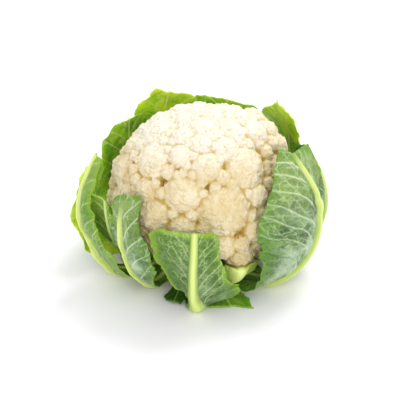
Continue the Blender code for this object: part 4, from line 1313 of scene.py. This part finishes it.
FINISHES = {
    Kind.WRAPPER: LeafFinish(
        outer_dark=(0.060, 0.175, 0.004), outer_light=(0.16, 0.33, 0.020), rib_pale=(0.78, 0.84, 0.26),
        rib_green=(0.42, 0.57, 0.11), margin=(0.24, 0.41, 0.02),
    ),
    Kind.FRONT: LeafFinish(
        outer_dark=(0.026, 0.080, 0.007), outer_light=(0.080, 0.180, 0.018), bloom_and_sheen=(0.25, 0.36, 0.19),
        bloom_and_sheen_share=0.55, margin=(0.26, 0.45, 0.016), tip=(0.09, 0.20, 0.015),
    ),
    # Much of these leaves' paleness is painted sheen on their waxy coat
    Kind.PALE_WRAPPER: LeafFinish(
        outer_dark=(0.026, 0.090, 0.007), outer_light=(0.125, 0.255, 0.030), bloom_and_sheen=(0.36, 0.48, 0.31),
        bloom_and_sheen_share=0.80, vein=(0.74, 0.83, 0.57), margin=(0.12, 0.28, 0.015), tip=(0.24, 0.35, 0.07),
    ),
    Kind.SUNLIT: LeafFinish(
        outer_dark=(0.05, 0.19, 0.001), outer_light=(0.13, 0.31, 0.004), bloom_and_sheen=(0.30, 0.48, 0.05),
        inner_dark=(0.25, 0.58, 0.003), inner_light=(0.70, 0.90, 0.03), bloom_and_sheen_share=0.2,
        vein=(0.80, 0.92, 0.36), rib_pale=(0.78, 0.90, 0.32), rib_green=(0.56, 0.78, 0.12),
        margin=(0.68, 0.90, 0.05), tip=(0.16, 0.34, 0.01),
    ),
    Kind.DEEP: LeafFinish(
        outer_dark=(0.070, 0.19, 0.005), outer_light=(0.20, 0.38, 0.020), bloom_and_sheen_share=0.25,
        inner_dark=(0.10, 0.31, 0.002), inner_light=(0.33, 0.60, 0.012), vein=(0.66, 0.82, 0.30),
        rib_pale=(0.66, 0.82, 0.30), rib_green=(0.46, 0.68, 0.12), margin=(0.32, 0.58, 0.015),
    ),
    Kind.TORN: LeafFinish(
        outer_dark=(0.050, 0.155, 0.005), outer_light=(0.165, 0.34, 0.020), bloom_and_sheen_share=0.10,
        inner_dark=(0.06, 0.20, 0.004), inner_light=(0.19, 0.40, 0.016), vein=(0.36, 0.50, 0.13),
        rib_pale=(0.42, 0.56, 0.16), rib_green=(0.28, 0.44, 0.08), margin=(0.20, 0.40, 0.014),
    ),
    Kind.SHADED: LeafFinish(
        outer_dark=(0.007, 0.032, 0.001), outer_light=(0.024, 0.080, 0.004), bloom_and_sheen_share=0.08,
        inner_dark=(0.010, 0.05, 0.001), inner_light=(0.03, 0.10, 0.004), vein=(0.10, 0.19, 0.03),
        rib_pale=(0.15, 0.25, 0.05), rib_green=(0.10, 0.19, 0.03), margin=(0.03, 0.11, 0.004),
    ),
    # Painted light: the stub lies in shade, so its colours are painted much lighter
    Kind.LIT_STUB: LeafFinish(
        outer_dark=(0.56, 0.80, 0.10), outer_light=(0.82, 0.97, 0.30), bloom_and_sheen_share=0.1,
        rib_pale=(0.86, 0.97, 0.32), rib_green=(0.66, 0.86, 0.12), margin=(0.40, 0.50, 0.01),
    ),
}


def smooth_curve(points: list[Triple], shares: np.ndarray) -> np.ndarray:
    """Follows a smooth curve through control points.

    Args:
        points: The control points.
        shares: Shares of the curve's length.

    Returns:
        One point a share.
    """
    ctrl = np.array(points, float)
    padded = np.vstack((2.0 * ctrl[0] - ctrl[1], ctrl, 2.0 * ctrl[-1] - ctrl[-2]))
    t = (np.arange(24) / 24.0)[:, None]
    dense = []
    for k in range(1, len(padded) - 2):
        p0, p1, p2, p3 = padded[k - 1:k + 3]
        dense.append(0.5 * (2.0 * p1 + (p2 - p0) * t + (2.0 * p0 - 5.0 * p1 + 4.0 * p2 - p3) * t * t
                            + (3.0 * p1 - p0 - 3.0 * p2 + p3) * t * t * t))
    dense = np.vstack((*dense, ctrl[-1:]))
    length = np.concatenate(((0.0,), np.cumsum(np.linalg.norm(np.diff(dense, axis=0), axis=1))))
    length = length / length[-1]
    return np.stack([np.interp(shares, length, dense[:, k]) for k in range(3)], axis=1)


def table(rows: Rows, shares: np.ndarray, column: int, ease: float = 0.0) -> np.ndarray:
    """Reads one column of a leaf table.

    Args:
        rows: The table, with the share of the length first.
        shares: Where to read it.
        column: Which column.
        ease: How far its corners are rounded, as a share of the length.

    Returns:
        One value a share.
    """
    data = np.array(rows, float)
    if not ease:
        return np.interp(shares, data[:, 0], data[:, column])
    total = np.zeros(len(shares))
    for shift in (-1.0, -0.5, 0.0, 0.5, 1.0):
        near = np.clip(shares + shift * ease * np.minimum(1.0, (1.0 - shares) / ease), 0.0, 1.0)
        total += 0.2 * np.interp(near, data[:, 0], data[:, column])
    return total


def between(grid: np.ndarray, row: np.ndarray, column: np.ndarray) -> np.ndarray:
    """Reads a coarse grid smoothly between its points.

    Args:
        grid: Rows and columns of values.
        row: Places along the rows, counted in rows.
        column: Places along the columns, counted in columns.

    Returns:
        The values at every row place and column place.
    """
    def weights(places: np.ndarray, size: int) -> np.ndarray:
        """Spreads each place over the four grid lines round it.

        Args:
            places: Places counted in grid lines.
            size: How many grid lines there are.

        Returns:
            The share of every grid line in every place.
        """
        low = np.clip(np.floor(places).astype(int), 0, size - 2)
        t = places - low
        parts = (-0.5 * t + t ** 2 - 0.5 * t ** 3, 1.0 - 2.5 * t ** 2 + 1.5 * t ** 3,
                 0.5 * t + 2.0 * t ** 2 - 1.5 * t ** 3, -0.5 * t ** 2 + 0.5 * t ** 3)
        made = np.zeros((len(places), size))
        for shift, part in zip((-1, 0, 1, 2), parts):
            np.add.at(made, (np.arange(len(places)), np.clip(low + shift, 0, size - 1)), part)
        return made

    return weights(row, grid.shape[0]) @ grid @ weights(column, grid.shape[1]).T


@dataclass
class Veins:
    """The side veins of a leaf, laid out flat: they leave the rib, swing out and branch."""

    plan: LeafPlan
    length: float
    seed: int
    main_half: float
    branch_half: float
    sway: float = 9.0
    taper: float = 0.62
    last_share: float = 0.97
    over_edge: float = 2.0
    least_blade: float = 4.0
    start_variety: tuple[float, float] = (0.85, 1.1)
    lean_variety: tuple[float, float] = (0.85, 1.15)
    gap_variety: tuple[float, float] = (0.75, 1.3)
    # A side vein's reach and thickness, each from the blade's width there
    main_reach: tuple[float, float] = (1.8, 8.0)
    main_width: tuple[float, float] = (0.55, 90.0)
    first_twig: float = 6.0
    twig_gap: tuple[float, float] = (7.0, 12.0)
    twig_lean: tuple[float, float] = (34, 52)
    twig_turn: tuple[float, float] = (12.0, 25.0)
    twig_reach: tuple[float, float] = (30.0, 0.45)
    twig_variety: tuple[float, float] = (0.6, 1.1)
    tip_gap: int = 8
    tip_lean: tuple[float, float] = (40, 60)
    tip_reach: tuple[float, float] = (4, 8)
    tip_half: float = 0.8
    mains: list[np.ndarray] = field(default_factory=list)
    branches: list[np.ndarray] = field(default_factory=list)

    def width_at(self, y: float, side: Side) -> float:
        """Gives the blade's half-width at a distance along the rib."""
        column = 1 if side is Side.LEFT else 2
        return float(table(self.plan.width, np.array([y / self.length]), column)[0])

    def trace(self, start: tuple[float, float], side: Side, angles: Triple, reach: float,
              half: float, rng: np.random.Generator) -> np.ndarray:
        """Walks one vein over the blade.

        Args:
            start: Where it leaves, across and along.
            side: Which half of the leaf it is on.
            angles: Its angle from the rib at the start, in the middle and at the end.
            reach: How long it may grow.
            half: Its half-width where it starts.
            rng: Seeded chance.

        Returns:
            Rows of across, along, half-width and angle.
        """
        x, y = start
        rows = []
        sway = rng.uniform(-self.sway, self.sway, 6)
        bends = np.linspace(0.0, 1.0, 6)
        for step in range(int(reach)):
            t = step / max(1.0, reach - 1.0)
            angle = float(np.interp(t, (0.0, 0.35, 1.0), angles)) + float(np.interp(t, bends, sway))
            rows.append((x, y, half * (1.0 - self.taper * t), angle))
            x += side.value * math.sin(math.radians(angle))
            y += math.cos(math.radians(angle))
            out = side.value * x
            if not 0.0 < y < self.length or out < 0.0 or out > self.width_at(y, side) + self.over_edge:
                break
        return np.array(rows)

    def grow(self) -> None:
        """Grows every side vein and its branches."""
        rng = np.random.default_rng(self.seed)
        for side in Side:
            y = self.length * self.plan.vein_start * rng.uniform(*self.start_variety)
            while y < self.length * self.last_share:
                half_rib = float(table(self.plan.rib_half, np.array([y / self.length]), 1)[0])
                width = self.width_at(y, side)
                if width > half_rib + self.least_blade:
                    angles = tuple(lean * rng.uniform(*self.lean_variety) for lean in self.plan.vein_lean)
                    start = (side.value * half_rib * 0.8, y)
                    half = self.main_half * min(1.0, self.main_width[0] + width / self.main_width[1])
                    reach = width * self.main_reach[0] + self.main_reach[1]
                    main = self.trace(start, side, angles, reach, half, rng)
                    self.mains.append(main)
                    self.branch(main, side, width, rng)
                y += self.plan.vein_gap * rng.uniform(*self.gap_variety)

    def branch(self, main: np.ndarray, side: Side, width: float, rng: np.random.Generator) -> None:
        """Grows the branches of one side vein.

        Args:
            main: The side vein.
            side: Which half of the leaf it is on.
            width: The blade's half-width there.
            rng: Seeded chance.
        """
        at, turn = self.first_twig, 1.0
        while at < len(main) - 3:
            x, y, half, angle = main[int(at)]
            lean = angle + turn * rng.uniform(*self.twig_lean)
            reach = min(self.twig_reach[0], self.twig_reach[1] * width) * rng.uniform(*self.twig_variety)
            thin = self.branch_half * (0.6 + 0.4 * half / self.main_half)
            angles = (lean, *(lean - turn * back for back in self.twig_turn))
            twig = self.trace((x, y), side, angles, reach, thin, rng)
            if len(twig) > 3:
                self.branches.append(twig)
                self.tips(twig, side, rng)
            at += rng.uniform(*self.twig_gap)
            turn = -turn

    def tips(self, twig: np.ndarray, side: Side, rng: np.random.Generator) -> None:
        """Grows the short last veins of one branch, by turns to its left and right.

        Args:
            twig: The branch.
            side: Which half of the leaf it is on.
            rng: Seeded chance.
        """
        for k in range(5, len(twig) - 2, self.tip_gap):
            x, y, half, angle = twig[k]
            lean = angle + (1.0 if (k // self.tip_gap) % 2 else -1.0) * rng.uniform(*self.tip_lean)
            reach = rng.uniform(*self.tip_reach)
            tip = self.trace((x, y), side, (lean, lean, lean), reach, half * self.tip_half, rng)
            if len(tip) > 2:
                self.branches.append(tip)

    @staticmethod
    def near(lines: list[np.ndarray], across: np.ndarray, along: np.ndarray) -> tuple[np.ndarray, np.ndarray]:
        """Measures how far each point of the blade is from the nearest of some veins.

        Args:
            lines: The veins.
            across: Distances across the blade.
            along: Distances along it.

        Returns:
            The distance, and the half-width of the nearest vein.
        """
        if not lines:
            return np.full(across.shape, 60.0), np.full(across.shape, 0.5)
        rows = np.vstack(lines)
        tree = search_tree(np.column_stack((rows[:, :2], np.zeros(len(rows)))))
        found = [tree.find((x, y, 0.0)) for x, y in zip(across.ravel(), along.ravel())]
        half = rows[np.array([f[1] for f in found]), 2].reshape(across.shape)
        return np.array([f[2] for f in found]).reshape(across.shape), half


@dataclass
class Leaf:
    """One leaf: a rounded rib and a veined, waved blade with two faces."""

    plan: LeafPlan
    finish: LeafFinish
    seed: int
    blade: float
    cad_blade: float = 1.2
    root_radius: float = 24.4
    floor_lift: float = 0.15
    gap: float = 0.35
    edge_ripple: float = 0.055
    edge_ripple_turns: float = 5.3
    edge_curve: float = 1.5
    rib_shoulder: float = 1.2
    rib_inside: float = 0.45
    rib_bulge: tuple[float, ...] = (1.0, 0.74, 0.0)
    least_lean: float = 0.45
    same_way: float = 4e-4
    push_step: int = 3
    push_spread: float = 0.75
    push_limit: float = 4.0
    push_fall: float = 0.5
    # Wavelengths of the crumpled blade, and the share of the shorter one
    crumple_waves: Triple = (24.0, 9.0, 0.6)
    # How deep the blade is drawn in between veins, and how far from them and from their branches
    cushion: Triple = (0.9, 3.5, 2.0)
    twig_cushion: float = 0.4
    curl: tuple[float, float] = (0.8, 15.0)
    edge_thinning: float = 0.45
    # How far a vein and a branch stand out, and how deep the hollow behind a vein is
    vein_rise: Triple = (0.55, 0.28, 0.12)
    vein_lean_floor: float = 0.6
    least_twig: float = 0.42
    blade_start: float = 0.12
    root_share: float = 0.1
    tip_margin: float = 0.94
    rib_columns: int = 13
    rib_round: tuple[float, float] = (2.2, 0.9)
    cut_from: float = 0.90
    toothed: tuple[float, float] = (0.12, 0.3)
    sway_start: float = 2.5

    def rib_points(self) -> list[Triple]:
        """Places the rib's control points round the curd's middle."""
        turned = [(math.radians(azimuth), out, height) for azimuth, out, height in self.plan.rib]
        return [(out * math.sin(a), -out * math.cos(a), height - CENTRE_Z) for a, out, height in turned]

    def frames(self, shares: np.ndarray) -> tuple[np.ndarray, np.ndarray, np.ndarray, np.ndarray]:
        """Follows the rib.

        Args:
            shares: Shares of its length.

        Returns:
            Outward direction, radius, side direction and steepness at each.
        """
        rib = smooth_curve(self.rib_points(), shares)
        radius = np.linalg.norm(rib, axis=1)
        outward = rib / radius[:, None]
        along = np.gradient(outward, shares, axis=0)
        along = unit_rows(along - outward * np.sum(along * outward, axis=1)[:, None])
        step = unit_rows(np.gradient(rib, shares, axis=0))
        lean = np.maximum(np.abs(np.sum(step * along, axis=1)), self.least_lean)
        return outward, radius, np.cross(along, outward), lean

    def rib_length(self) -> float:
        """Measures the rib."""
        steps = np.diff(smooth_curve(self.rib_points(), np.linspace(0.0, 1.0, 200)), axis=0)
        return float(np.sum(np.linalg.norm(steps, axis=1)))

    def lay_out(self, shares: np.ndarray, columns: np.ndarray, fine: bool) -> dict[str, np.ndarray]:
        """Lays out the leaf's grid over the head.

        Args:
            shares: The rows, as shares of the length.
            columns: The columns, -6 at the left edge, 0 on the rib and 6 at the right edge.
            fine: Whether the edges get their teeth and the tables their rounded corners.

        Returns:
            Directions, wished radii, thicknesses, and flat coordinates over the grid.
        """
        plan = self.plan
        ease = CORNER_EASE if fine else 0.0
        foot = table(plan.rib_half, shares, 1, ease)
        high = table(plan.rib_high, shares, 1, ease)
        length = self.rib_length()
        rng = np.random.default_rng(self.seed)
        widths, edges = [], []
        for k in (1, 2):
            turned = self.edge_ripple_turns * 2.0 * math.pi * shares + k + plan.wave[2] * 9.0
            ripple = 1.0 + self.edge_ripple * np.sin(turned)
            widths.append(np.maximum(table(plan.width, shares, k, ease) * ripple, foot + self.rib_shoulder))
            edges.append(table(plan.edge, shares, k, ease))
        teeth = [self.teeth_along(shares * length, rng) for _ in Side]
        size = (len(shares), len(columns))
        made = {key: np.zeros(size) for key in ("wish", "outer", "inner", "across", "along", "v", "lean")}
        made["way"] = np.zeros((*size, 3))
        amount, turns, phase = plan.wave
        power, ease_out = self.rib_round
        started = np.minimum(1.0, shares * self.sway_start)
        shifts = np.interp(np.abs(columns), BLADE_COLUMNS, BLADE_SHARES)
        for k, (column, v) in enumerate(zip(columns, shifts)):
            hand = -1.0 if column < 0.0 else 1.0
            pick = 0 if column < 0.0 else 1
            own = shares * (1.0 + plan.slant * hand * v) / (1.0 + abs(plan.slant))
            if fine:
                cut = self.tip_cut(column, pick) / length
                own = own - cut * smooth_step(self.cut_from, 1.0, shares)
            outward, radius, side, lean = self.frames(own)
            u = min(1.0, abs(column) / 2.0)
            bulge = (1.0 - u ** power) ** ease_out if fine else self.rib_bulge[min(int(abs(column)), 2)]
            half = 0.5 * self.cad_blade / lean
            if v <= 0.0:
                across = hand * foot * u
                wish = radius
            else:
                across = hand * (foot + (widths[pick] - foot) * v)
                if fine:
                    across = across + hand * teeth[pick] * v ** 6 * smooth_step(*self.toothed, shares)
                sway = amount * np.sin(2.0 * math.pi * (turns * shares + phase + 0.3 * hand)) * v * v
                wish = radius + edges[pick] * v ** self.edge_curve + sway * started
            angle = across / radius
            made["way"][:, k] = outward * np.cos(angle)[:, None] + side * np.sin(angle)[:, None]
            made["wish"][:, k] = wish
            made["outer"][:, k] = half + high * bulge / lean
            made["inner"][:, k] = half + self.rib_inside * high * bulge * (1.0 - shares) / lean
            made["across"][:, k] = across
            made["along"][:, k] = own * length
            made["v"][:, k] = v
            made["lean"][:, k] = lean
        made["bulge"] = made["outer"] - 0.5 * self.cad_blade / made["lean"]
        made["under"] = made["inner"] - 0.5 * self.cad_blade / made["lean"]
        return made

    def teeth_along(self, y: np.ndarray, rng: np.random.Generator) -> np.ndarray:
        """Gives the ragged outline of one side: broad waves, small teeth and a few nicks.

        Args:
            y: Distances along the rib.
            rng: Seeded chance.

        Returns:
            How far the edge stands out at each.
        """
        size = self.plan.teeth
        start = rng.uniform(0.0, 10.0, 4)
        broad = np.sin(y / 8.5 + start[0]) + 0.7 * np.sin(y / 4.1 + start[1])
        saw = np.abs(((y + 1.3 * np.sin(y / 7.0)) / 5.2 + start[2]) % 1.0 - 0.35)
        nick = -np.exp(-(((y + start[3] * 9.0) % 47.0 - 20.0) / 1.3) ** 2)
        return size * (0.55 * broad + 1.5 * (saw - 0.35) + 1.6 * nick)

    def tip_cut(self, column: float, pick: int) -> float:
        """Gives how much is missing from the tip's cut edge at a column."""
        wander = math.sin(column * 2.3 + self.seed) + 0.6 * math.sin(column * 5.1 + pick + 2.0 * self.seed)
        return 0.8 * self.plan.teeth * (0.6 + 0.5 * wander)

    def settled(self, node: bpy.types.Object) -> np.ndarray:
        """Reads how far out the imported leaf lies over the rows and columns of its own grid.

        Args:
            node: The CAD node.

        Returns:
            Radii of the leaf's middle surface.
        """
        shares = np.linspace(0.0, 1.0, self.plan.rows)
        grid = self.lay_out(shares, np.arange(-6.0, 7.0), fine=False)
        points = np.array([v.co[:] for v in node.data.vertices]) / MM - np.array((0.0, 0.0, CENTRE_Z))
        reach = np.linalg.norm(points, axis=1)
        ways = points / reach[:, None]
        radii = grid["wish"].copy()
        for i in range(radii.shape[0]):
            for j in range(radii.shape[1]):
                apart = np.linalg.norm(ways - grid["way"][i, j], axis=1)
                near = np.flatnonzero(apart < self.same_way)
                if not len(near) and i:
                    near = np.argsort(apart)[:2]
                if len(near):
                    radii[i, j] = max(radii[i, j], reach[near].max() - grid["outer"][i, j])
        return radii

    def fine_columns(self) -> np.ndarray:
        """Spaces the fine columns evenly over the blade, with a rounded rib between its halves.

        Returns:
            The columns, from the left edge to the right.
        """
        halves = []
        for k in (1, 2):
            width = max(row[k] for row in self.plan.width)
            count = max(8, int(round(width / self.plan.spacing)))
            v = np.linspace(0.0, 1.0, count + 1)[1:]
            halves.append(np.interp(v, BLADE_SHARES, BLADE_COLUMNS))
        return np.concatenate((-halves[0][::-1], np.linspace(-2.0, 2.0, self.rib_columns), halves[1]))

    def push_clear(self, grid: dict[str, np.ndarray], radii: np.ndarray, trees: list[BVHTree]) -> np.ndarray:
        """Pushes the leaf out where something inside it would show through.

        Args:
            grid: The fine layout.
            radii: Its middle surface.
            trees: What already lies inside.

        Returns:
            The radii, pushed where needed.
        """
        rows, cols = (np.unique(np.append(np.arange(0, n, self.push_step), n - 1)) for n in radii.shape)
        need = np.zeros((len(rows), len(cols)))
        for a, i in enumerate(rows):
            for b, j in enumerate(cols):
                way = Vector(grid["way"][i, j])
                far = 0.0
                for tree in trees:
                    hit = tree.ray_cast(way * FAR, -way)[0]
                    if hit is not None:
                        far = max(far, hit.length)
                need[a, b] = far + self.gap + grid["thin"][i, j] + grid["under"][i, j]
        short = np.maximum(need - radii[np.ix_(rows, cols)], 0.0)
        grown = short.copy()
        for da in (-1, 0, 1):
            for db in (-1, 0, 1):
                share = self.push_spread if da or db else 1.0
                grown = np.maximum(grown, np.roll(np.roll(short, da, 0), db, 1) * share)
        grown = np.minimum(grown, self.push_limit)
        for _ in range(int(self.push_limit / self.push_fall)):
            wide = np.pad(grown, ((0, 1), (1, 1))) - self.push_fall
            grown = np.maximum.reduce((grown, wide[1:, 1:-1], wide[:-1, 2:], wide[:-1, :-2]))
        push = between(grown, np.interp(np.arange(radii.shape[0]), rows, np.arange(len(rows))),
                       np.interp(np.arange(radii.shape[1]), cols, np.arange(len(cols))))
        return radii + np.maximum(push, 0.0)

    def build(self, node: bpy.types.Object, trees: list[BVHTree]) -> Shape:
        """Builds the leaf over what lies inside it.

        Args:
            node: The CAD node that it stands for.
            trees: What already lies inside.

        Returns:
            Its shape, with veins, rib, edge and inner face painted on.
        """
        plan = self.plan
        length = self.rib_length()
        shares = np.linspace(0.0, 1.0, max(24, int(length / plan.spacing)) + 1)
        columns = self.fine_columns()
        grid = self.lay_out(shares, columns, fine=True)
        radii = between(self.settled(node), shares * (plan.rows - 1), columns + 6.0)
        across, along, v = grid["across"], grid["along"], grid["v"]
        veins = Veins(plan, length, self.seed + 100, plan.vein_half, 0.5 * plan.vein_half)
        veins.grow()
        far_main, half_main = veins.near(veins.mains, across, along)
        far_twig, half_twig = veins.near(veins.branches, across, along)
        blade = smooth_step(0.0, self.blade_start, v)
        main = np.exp(-(far_main / half_main) ** 2) * blade
        twig = np.exp(-(far_twig / np.maximum(half_twig, self.least_twig)) ** 2) * blade
        flat = np.stack((across, along), axis=-1)
        long_wave, short_wave, short_share = self.crumple_waves
        broad, fine = Ripples(self.seed, long_wave).at(flat), Ripples(self.seed + 1, short_wave).at(flat)
        rise = plan.crumple * broad + short_share * plan.crumple * fine
        deep, main_reach, twig_reach = self.cushion
        cushion = -deep * plan.crumple * (1.0 - np.exp(-(far_main / main_reach) ** 2))
        cushion = cushion * (1.0 - self.twig_cushion * np.exp(-(far_twig / twig_reach) ** 2))
        curl = self.curl[0] * v ** 5 * Ripples(self.seed + 2, self.curl[1]).at(flat)
        radii = radii + (rise + cushion + curl) * blade * smooth_step(0.0, self.root_share, shares)[:, None]
        thin = 0.5 * self.blade * (1.0 - self.edge_thinning * v ** 8) / grid["lean"]
        grid["thin"] = thin
        radii = self.push_clear(grid, radii, trees)
        foot = table(plan.rib_half, shares, 1, CORNER_EASE)[:, None]
        rib = smooth_step(1.0, -0.8, np.abs(across) - foot)
        rib = rib * smooth_step(plan.rib_fade + 0.12, plan.rib_fade - 0.06, shares)[:, None]
        groove = smooth_step(0.8, -0.6, np.abs(across) - 0.3 * foot)
        main_rise, twig_rise, back_rise = self.vein_rise
        veined = main_rise * main * half_main + twig_rise * twig
        outer = thin + grid["bulge"] + veined / np.maximum(grid["lean"], self.vein_lean_floor)
        inner = thin + grid["under"] - back_rise * main
        shape = self.close(grid["way"], radii, outer, inner)
        shape.paint = {
            "vein": self.on_both(main),
            "branch": self.on_both(twig),
            "rib": np.concatenate((rib.ravel(), groove.ravel())),
            "along": self.on_both(np.broadcast_to(shares[:, None], v.shape)),
            # Painted highlight along the top of the rib
            "crest_highlight": self.on_both(smooth_step(0.95, 0.15, np.abs(across) / foot)),
            "out": self.on_both(v),
            "margin": self.on_both(np.maximum(v ** 4, smooth_step(self.tip_margin, 1.0, shares)[:, None])),
            "inside": np.concatenate((np.zeros(v.size), np.ones(v.size))),
            "flat": np.tile(np.stack((across, along, np.zeros(v.shape)), axis=-1).reshape(-1, 3), (2, 1)),
        }
        return shape

    @staticmethod
    def on_both(values: np.ndarray) -> np.ndarray:
        """Repeats a grid of values for the outer and the inner face."""
        return np.tile(values.ravel(), 2)

    def close(self, way: np.ndarray, radii: np.ndarray, outer: np.ndarray, inner: np.ndarray) -> Shape:
        """Joins the outer and inner faces into one closed leaf.

        Args:
            way: Directions over the grid.
            radii: The middle surface.
            outer: How far the outer face stands out from it.
            inner: How far the inner face lies in.

        Returns:
            The closed shape.
        """
        rows, cols = radii.shape
        front = way * (radii + outer)[:, :, None]
        back = way * (radii - inner)[:, :, None]
        front[:, :, 2] = np.maximum(front[:, :, 2], self.floor_lift - CENTRE_Z)
        back[:, :, 2] = np.maximum(back[:, :, 2], self.floor_lift + self.blade - CENTRE_Z)
        for face in (front, back):
            flat = np.linalg.norm(face[0, :, :2], axis=1)
            face[0, :, :2] *= (self.root_radius / flat)[:, None]
        i, j = np.meshgrid(np.arange(rows - 1), np.arange(cols - 1), indexing="ij")
        a = (i * cols + j).ravel()
        tris = halved(np.stack((a, a + 1, a + cols + 1, a + cols), axis=1))
        half = rows * cols
        top, bottom = np.arange(cols), (rows - 1) * cols + np.arange(cols)
        left, right = np.arange(rows) * cols, np.arange(rows) * cols + cols - 1
        border = np.concatenate((top, right[1:], bottom[::-1][1:], left[::-1][1:-1]))
        nxt = np.roll(border, -1)
        sides = [(nxt, border, half + border), (nxt, half + border, half + nxt)]
        sides = np.concatenate([np.stack(side, axis=1) for side in sides])
        points = np.concatenate((front.reshape(-1, 3), back.reshape(-1, 3)))
        return Shape(points, np.concatenate((tris, half + tris[:, ::-1], sides)))

    def dress(self, shared: SharedEffects, trees: list[BVHTree]) -> tuple[bpy.types.Object, BVHTree]:
        """Builds and dresses the leaf over what lies inside it.

        Args:
            shared: The shared effects.
            trees: What already lies inside.

        Returns:
            The piece and its search tree.
        """
        shape = self.build(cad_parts[self.plan.name], trees)
        finish = self.finish.material(self.plan.name + "_green", shared)
        return shape.piece(self.plan.name + "_blade", self.plan.name, finish), shape.tree()


# The studio


@dataclass(frozen=True)
class Studio:
    """A pale floor, soft lamps behind and in front of the head, and the camera."""

    lens: float = 85.0
    distance: float = 0.840
    elevation: float = 30.0
    aim: Triple = (0.00267, -0.00534, 0.07076)
    sensor: float = 36.0
    ambient: float = 0.95
    lit_height: float = 0.05
    floor_half: float = 6.0
    floor_drop: float = 0.0003
    floor_colour: Colour = (0.935, 0.92, 0.96)
    # Each lamp's place, size and power
    key: tuple[Triple, float, float] = ((0.55, 0.75, 1.5), 0.9, 13.0)
    fill: tuple[Triple, float, float] = ((0.15, -1.25, 0.85), 1.2, 6.5)

    def floor(self) -> None:
        """Lays the pale floor."""
        mesh = bpy.data.meshes.new("floor")
        h = self.floor_half
        mesh.from_pydata([(-h, -h, 0), (h, -h, 0), (h, h, 0), (-h, h, 0)], [], [(0, 1, 2, 3)])
        made, _, shader = new_material("pale_floor")
        shader.inputs["Base Color"].default_value = (*self.floor_colour, 1.0)
        shader.inputs["Roughness"].default_value = 0.6
        mesh.materials.append(made)
        obj = bpy.data.objects.new("floor", mesh)
        obj.location.z = -self.floor_drop
        bpy.context.scene.collection.objects.link(obj)

    def lamp(self, name: str, place: Triple, size: float, power: float) -> None:
        """Hangs one soft lamp that faces the head.

        Args:
            name: Its name.
            place: Where it hangs, in metres.
            size: How wide it is, in metres.
            power: Its power in watts.
        """
        light = bpy.data.lights.new(name, "AREA")
        light.energy = power
        light.size = size
        light.shape = "DISK"
        obj = bpy.data.objects.new(name, light)
        obj.location = place
        facing = Vector((0.0, 0.0, self.lit_height)) - Vector(place)
        obj.rotation_euler = facing.to_track_quat("-Z", "Y").to_euler()
        bpy.context.scene.collection.objects.link(obj)

    def camera(self) -> None:
        """Sets the camera at the photograph's angle."""
        tilt = math.radians(self.elevation)
        forward = Vector((0.0, math.cos(tilt), -math.sin(tilt)))
        upward = Vector((0.0, math.sin(tilt), math.cos(tilt)))
        data = bpy.data.cameras.new("camera")
        data.lens = self.lens
        data.sensor_width = self.sensor
        obj = bpy.data.objects.new("camera", data)
        turn = Matrix((Vector((1.0, 0.0, 0.0)), upward, -forward)).transposed().to_4x4()
        obj.matrix_world = Matrix.Translation(Vector(self.aim) - forward * self.distance) @ turn
        bpy.context.scene.collection.objects.link(obj)
        bpy.context.scene.camera = obj

    def build(self) -> None:
        """Sets up the whole studio."""
        scene = bpy.context.scene
        world = bpy.data.worlds.new("studio")
        scene.world = world
        world.use_nodes = True
        sky = world.node_tree.nodes["Background"]
        sky.inputs["Color"].default_value = (1.0, 1.0, 1.0, 1.0)
        sky.inputs["Strength"].default_value = self.ambient
        self.floor()
        self.lamp("key", *self.key)
        self.lamp("fill", *self.fill)
        self.camera()
        scene.view_settings.view_transform = "Standard"


def main() -> None:
    """Builds the head from the inside out."""
    logging.basicConfig(level=logging.INFO, format="%(name)s: %(message)s")
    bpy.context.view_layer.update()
    shared = SharedEffects()
    curd, curd_tree = Curd(CurdFinish()).dress(shared)
    log.info("%s: %d points", curd.name, len(curd.data.vertices))
    stalk = Stalk(StalkFinish()).dress(shared)
    log.info("%s: %d points", stalk.name, len(stalk.data.vertices))
    trees = [curd_tree]
    for k, plan in enumerate(LEAF_PLANS):
        blade = FINE_BLADE if plan.name in FINE_BLADED else BLADE
        leaf, tree = Leaf(plan, FINISHES[plan.kind], SEED + 10 * k, blade).dress(shared, trees)
        trees.append(tree)
        log.info("%s: %d points", leaf.name, len(leaf.data.vertices))
    Studio().build()
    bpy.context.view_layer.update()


if __name__ == "__main__":
    main()
